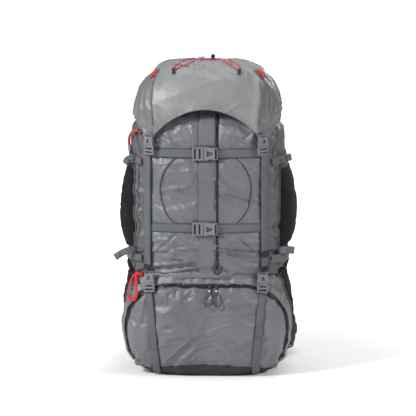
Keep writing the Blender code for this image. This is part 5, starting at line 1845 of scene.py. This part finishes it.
def make_pulls():
    hook = np.array([0.02858, -0.13270, 0.28478])
    ring = ring_points(hook - (0, 0.0004, 0.0107), 0.0112, (0, -1, 0), (0, 0, 1))
    add_tube("front_ring", ring, 0.0015, BLACK_CORD, body="front_zip_puller",
              replaces=["front_zip_pull"], sides=12, closed=True)
    sleeve = ring[18:31]
    add_tube("front_ring_grip", sleeve, 0.0023, BLACK_PLASTIC, body="front_zip_puller",
              sides=12)
    for side, name, x in ((-1, "left", 0.01001), (1, "right", 0.02605)):
        low = np.array(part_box(f"bottom_zip_pull_{name}")[0])
        top = np.array([x, -0.1344, 0.2291])
        drop = low[2] + 0.0013 - top[2]
        lean = np.array([side * 0.0035, np.clip(low[1] + 0.0013 - top[1], -0.02, 0.02), drop])
        path = []
        for share, spread in ((0.0, 0.0010), (0.20, 0.0018), (0.42, 0.0068), (0.68, 0.0098), (0.89, 0.0085),
                              (1.0, 0.0030)):
            path.append(top + lean * share + np.array([spread, 0, 0]))
        path += [2 * (top + lean * share) - point for share,
                 point in zip((1.0, 0.90, 0.70, 0.45, 0.22, 0.0), path[::-1])]
        loop = smooth_path(np.array(path), 6)
        add_tube(f"low_pull_{name}", loop, 0.0016, BLACK_CORD, body=f"bottom_zip_puller_{name}",
                  replaces=[f"bottom_zip_pull_{name}"], sides=10)
        along = lean / np.linalg.norm(lean)
        knot = lathe_mesh("knot",
                          [(0.0014, -0.0030), (0.0027, -0.0022), (0.0031, 0.0), (0.0027, 0.0022), (0.0014, 0.0030)],
                          top + lean * 0.19 - (0, 0.0014, 0), along, sides=16)
        add_piece(f"low_pull_knot_{name}", knot, ALLOY, body=f"bottom_zip_puller_{name}")


def make_red_loop():
    """The ice-axe loop: a teardrop of red webbing that hangs at the lower left."""
    plan = [(0, 0.030), (-0.010, 0.016), (-0.017, -0.012), (-0.015, -0.030), (-0.006, -0.038), (0.004, -0.036),
            (0.010, -0.024), (0.008, -0.002), (0.003, 0.016), (0.0008, 0.0285)]
    x, z = np.array([-0.157, -0.183, -0.160]), np.array([0.205, 0.205, 0.2515])
    near_side, far_side, top = (Vector(point) for point in on_cloth(BOTTOM_BAG, bottom_lift, x, z, 0.0088)[0])
    y_axis = (top - (near_side + far_side) / 2).normalized()
    z_axis = (near_side - far_side).cross(y_axis).normalized()
    x_axis = y_axis.cross(z_axis)
    centre = top - y_axis * 0.030 + z_axis * 0.002
    points = np.array([centre + x_axis * 1.15 * x + y_axis * y for x, y in plan])
    line = smooth_path(points, 6)
    along = directions(line)
    flat = unit(np.cross(along, np.array(z_axis)))
    turned = unit(0.92 * np.array(z_axis) + 0.40 * flat)
    mesh = web_mesh("red_loop", line - 0.0009 * turned, turned, 0.0088, ripple=0.0003, seed=3)
    add_piece("red_loop", mesh, RED_WEB, replaces=["ice_axe_loop"])
    root = np.array(centre + y_axis * 0.030)
    anchor, out = on_cloth(BOTTOM_BAG, bottom_lift, np.array([-0.1505]), np.array([0.2520]), 0.0030)
    tab = smooth_path(np.array([anchor[0], (anchor[0] + root) / 2 + 0.003 * out[0], root]), 8)
    side = directions(tab)
    up = unit(np.cross(side, np.cross(np.broadcast_to(np.array(z_axis), side.shape), side)))
    make_strap("red_loop_tab", tab, up, 0.0095, RED_WEB, sewn=())


def make_red_cord():
    """The bungee at the upper left, from a black toggle to a small grey clip, with a ring of the same cord."""
    ends = [(-0.150, 0.6080, 0.009), (-0.160, 0.6080, 0.011), (-0.169, 0.5980, 0.010), (-0.1745, 0.5790, 0.007),
            (-0.1755, 0.5620, 0.0055)]
    points = []
    for x, z, above in ends:
        reach = profile_rows(MAIN_BAG, np.array([z]))[0][0] * 0.995
        p, n = on_front(MAIN_BAG, np.array([max(x, -reach)]), np.array([z]))
        lift = float(main_lift(p[0])) + above
        points.append(p[0] + lift * n[0])
    line = smooth_path(np.array(points), 8)
    add_tube("side_bungee", line, 0.0034, RED_CORD, sides=12)
    along = directions(line)
    add_piece("side_toggle",
              lathe_mesh("side_toggle",
                         [(0.003, -0.008), (0.0052, -0.0074), (0.0058, 0.0), (0.0052, 0.0074), (0.003, 0.008)],
                                        line[1], along[1]), BLACK_PLASTIC)
    add_piece("side_clip",
              lathe_mesh("side_clip", [(0.003, -0.007), (0.0046, -0.0064), (0.0046, 0.0075), (0.0030, 0.0085)],
                                      line[-1], along[-1], sides=14), BUCKLE)
    ring = ring_points(line[2] + (0.0045, -0.004, -0.003), 0.0056, (0.2, -1, 0), (0, 0, 1), count=32)
    add_tube("side_bungee_ring", ring, 0.0016, RED_CORD, sides=10, closed=True)


def make_handle():
    turn = np.linspace(0, math.pi, 40)
    hinge = np.array([0, 0.1405, 0.590])
    out = np.stack([-np.cos(turn), 0.72 * np.sin(turn), 0 * turn], -1)
    normal = out / np.linalg.norm(out, axis=1, keepdims=True)
    line = hinge + 0.040 * out
    web = web_mesh("handle_web", line - 0.0016 * normal, normal, 0.0175, thickness=0.0030)
    add_piece("handle_web", web, WEB_DARK, body="handle", replaces=["grab_handle"])
    grip = tube_mesh("handle_grip", line[9:31] + 0.0002 * normal[9:31], 0.0052, sides=14)
    scale = vectors_of(grip.vertices, "co")
    scale[:, 2] = hinge[2] + (scale[:, 2] - hinge[2]) * 1.75
    grip.vertices.foreach_set("co", scale.ravel())
    add_piece("handle_grip", grip, PAD_CLOTH, body="handle")


def dress(name, material):
    """A CAD node that keeps its shape gets this material in every slot."""
    for slot in bpy.data.objects[name].material_slots:
        slot.material = material


make_buckles()
make_lock_and_toggle()
make_pulls()
make_red_loop()
make_red_cord()
make_handle()
for cad_node, finish in (("frame_sheet", SHEET), ("frame_stay", ALLOY), ("front_zip_slider", ZIP_METAL),
                         ("bottom_zip_slider_left", ZIP_METAL), ("bottom_zip_slider_right", ZIP_METAL)):
    dress(cad_node, finish)


# --- The studio -----------------------------------------------------------------------------------------------


def aimed(obj, at):
    obj.rotation_euler = (Vector(at) - obj.location).to_track_quat("-Z", "Y").to_euler()


def make_studio():
    """A pale floor that fades to white far out, large soft lights and a white surround."""
    white = Shader("studio_white", roughness=0.85)
    mottle = white.noise(3.0, 3)
    white.colour(white.tinted(mottle, (0.86, 0.86, 0.86), (0.90, 0.90, 0.90)))
    reach = white.node("ShaderNodeVectorMath", operation="LENGTH")
    white.link(white.position, reach.inputs[0])
    glow = white.node("ShaderNodeMapRange")
    for socket, value in (("From Min", 0.45), ("From Max", 2.2), ("To Min", 0.16), ("To Max", 1.0)):
        glow.inputs[socket].default_value = value
    white.link(reach.outputs["Value"], glow.inputs["Value"])
    white.principled.inputs["Emission Color"].default_value = (1, 1, 1, 1)
    seen = white.node("ShaderNodeLightPath").outputs["Is Camera Ray"]
    white.link(white.times(glow.outputs["Result"], seen), white.principled.inputs["Emission Strength"])
    corners = [(-14, -14, -0.0002), (14, -14, -0.0002), (14, 14, -0.0002), (-14, 14, -0.0002)]
    floor = add_piece("floor", mesh_of("floor", corners, [(0, 1, 2, 3)]), white.material, body=None, smooth=False)
    for name, place, size, power in (
        ("key", (-2.2, -1.8, 2.3), 0.6, 108),
        ("fill", (2.5, -1.3, 1.7), 0.9, 34),
        ("top", (0.2, 0.3, 3.1), 1.4, 24),
        ("rear", (1.1, 2.3, 1.9), 1.5, 34),
    ):
        light = bpy.data.lights.new(name, "AREA")
        light.energy, light.size = power, size
        lamp = bpy.data.objects.new(name, light)
        bpy.context.scene.collection.objects.link(lamp)
        lamp.location = place
        aimed(lamp, (0, 0, 0.35))
    world = bpy.data.worlds.new("studio")
    world.use_nodes = True
    nodes, links = world.node_tree.nodes, world.node_tree.links
    path = nodes.new("ShaderNodeLightPath")
    strength = nodes.new("ShaderNodeMapRange")
    strength.inputs["To Min"].default_value, strength.inputs["To Max"].default_value = 0.22, 1.0
    links.new(path.outputs["Is Camera Ray"], strength.inputs["Value"])
    nodes["Background"].inputs["Color"].default_value = (1, 1, 1, 1)
    links.new(strength.outputs["Result"], nodes["Background"].inputs["Strength"])
    bpy.context.scene.world = world


def make_camera():
    """A long lens from a little above and a little to the right of the front."""
    azimuth, elevation, distance = math.radians(2.5), math.radians(8.5), 7.0
    sensor, view_width = 36, 1.04
    at = Vector((0, 0, 0.407))
    camera = bpy.data.objects.new("camera", bpy.data.cameras.new("camera"))
    bpy.context.scene.collection.objects.link(camera)
    away = Vector((math.sin(azimuth) * math.cos(elevation), -math.cos(azimuth) * math.cos(elevation),
                   math.sin(elevation)))
    camera.location = at + distance * away
    camera.data.lens = sensor * distance / view_width
    aimed(camera, at)
    bpy.context.scene.camera = camera


make_studio()
make_camera()
bpy.context.scene.view_settings.view_transform = "Standard"
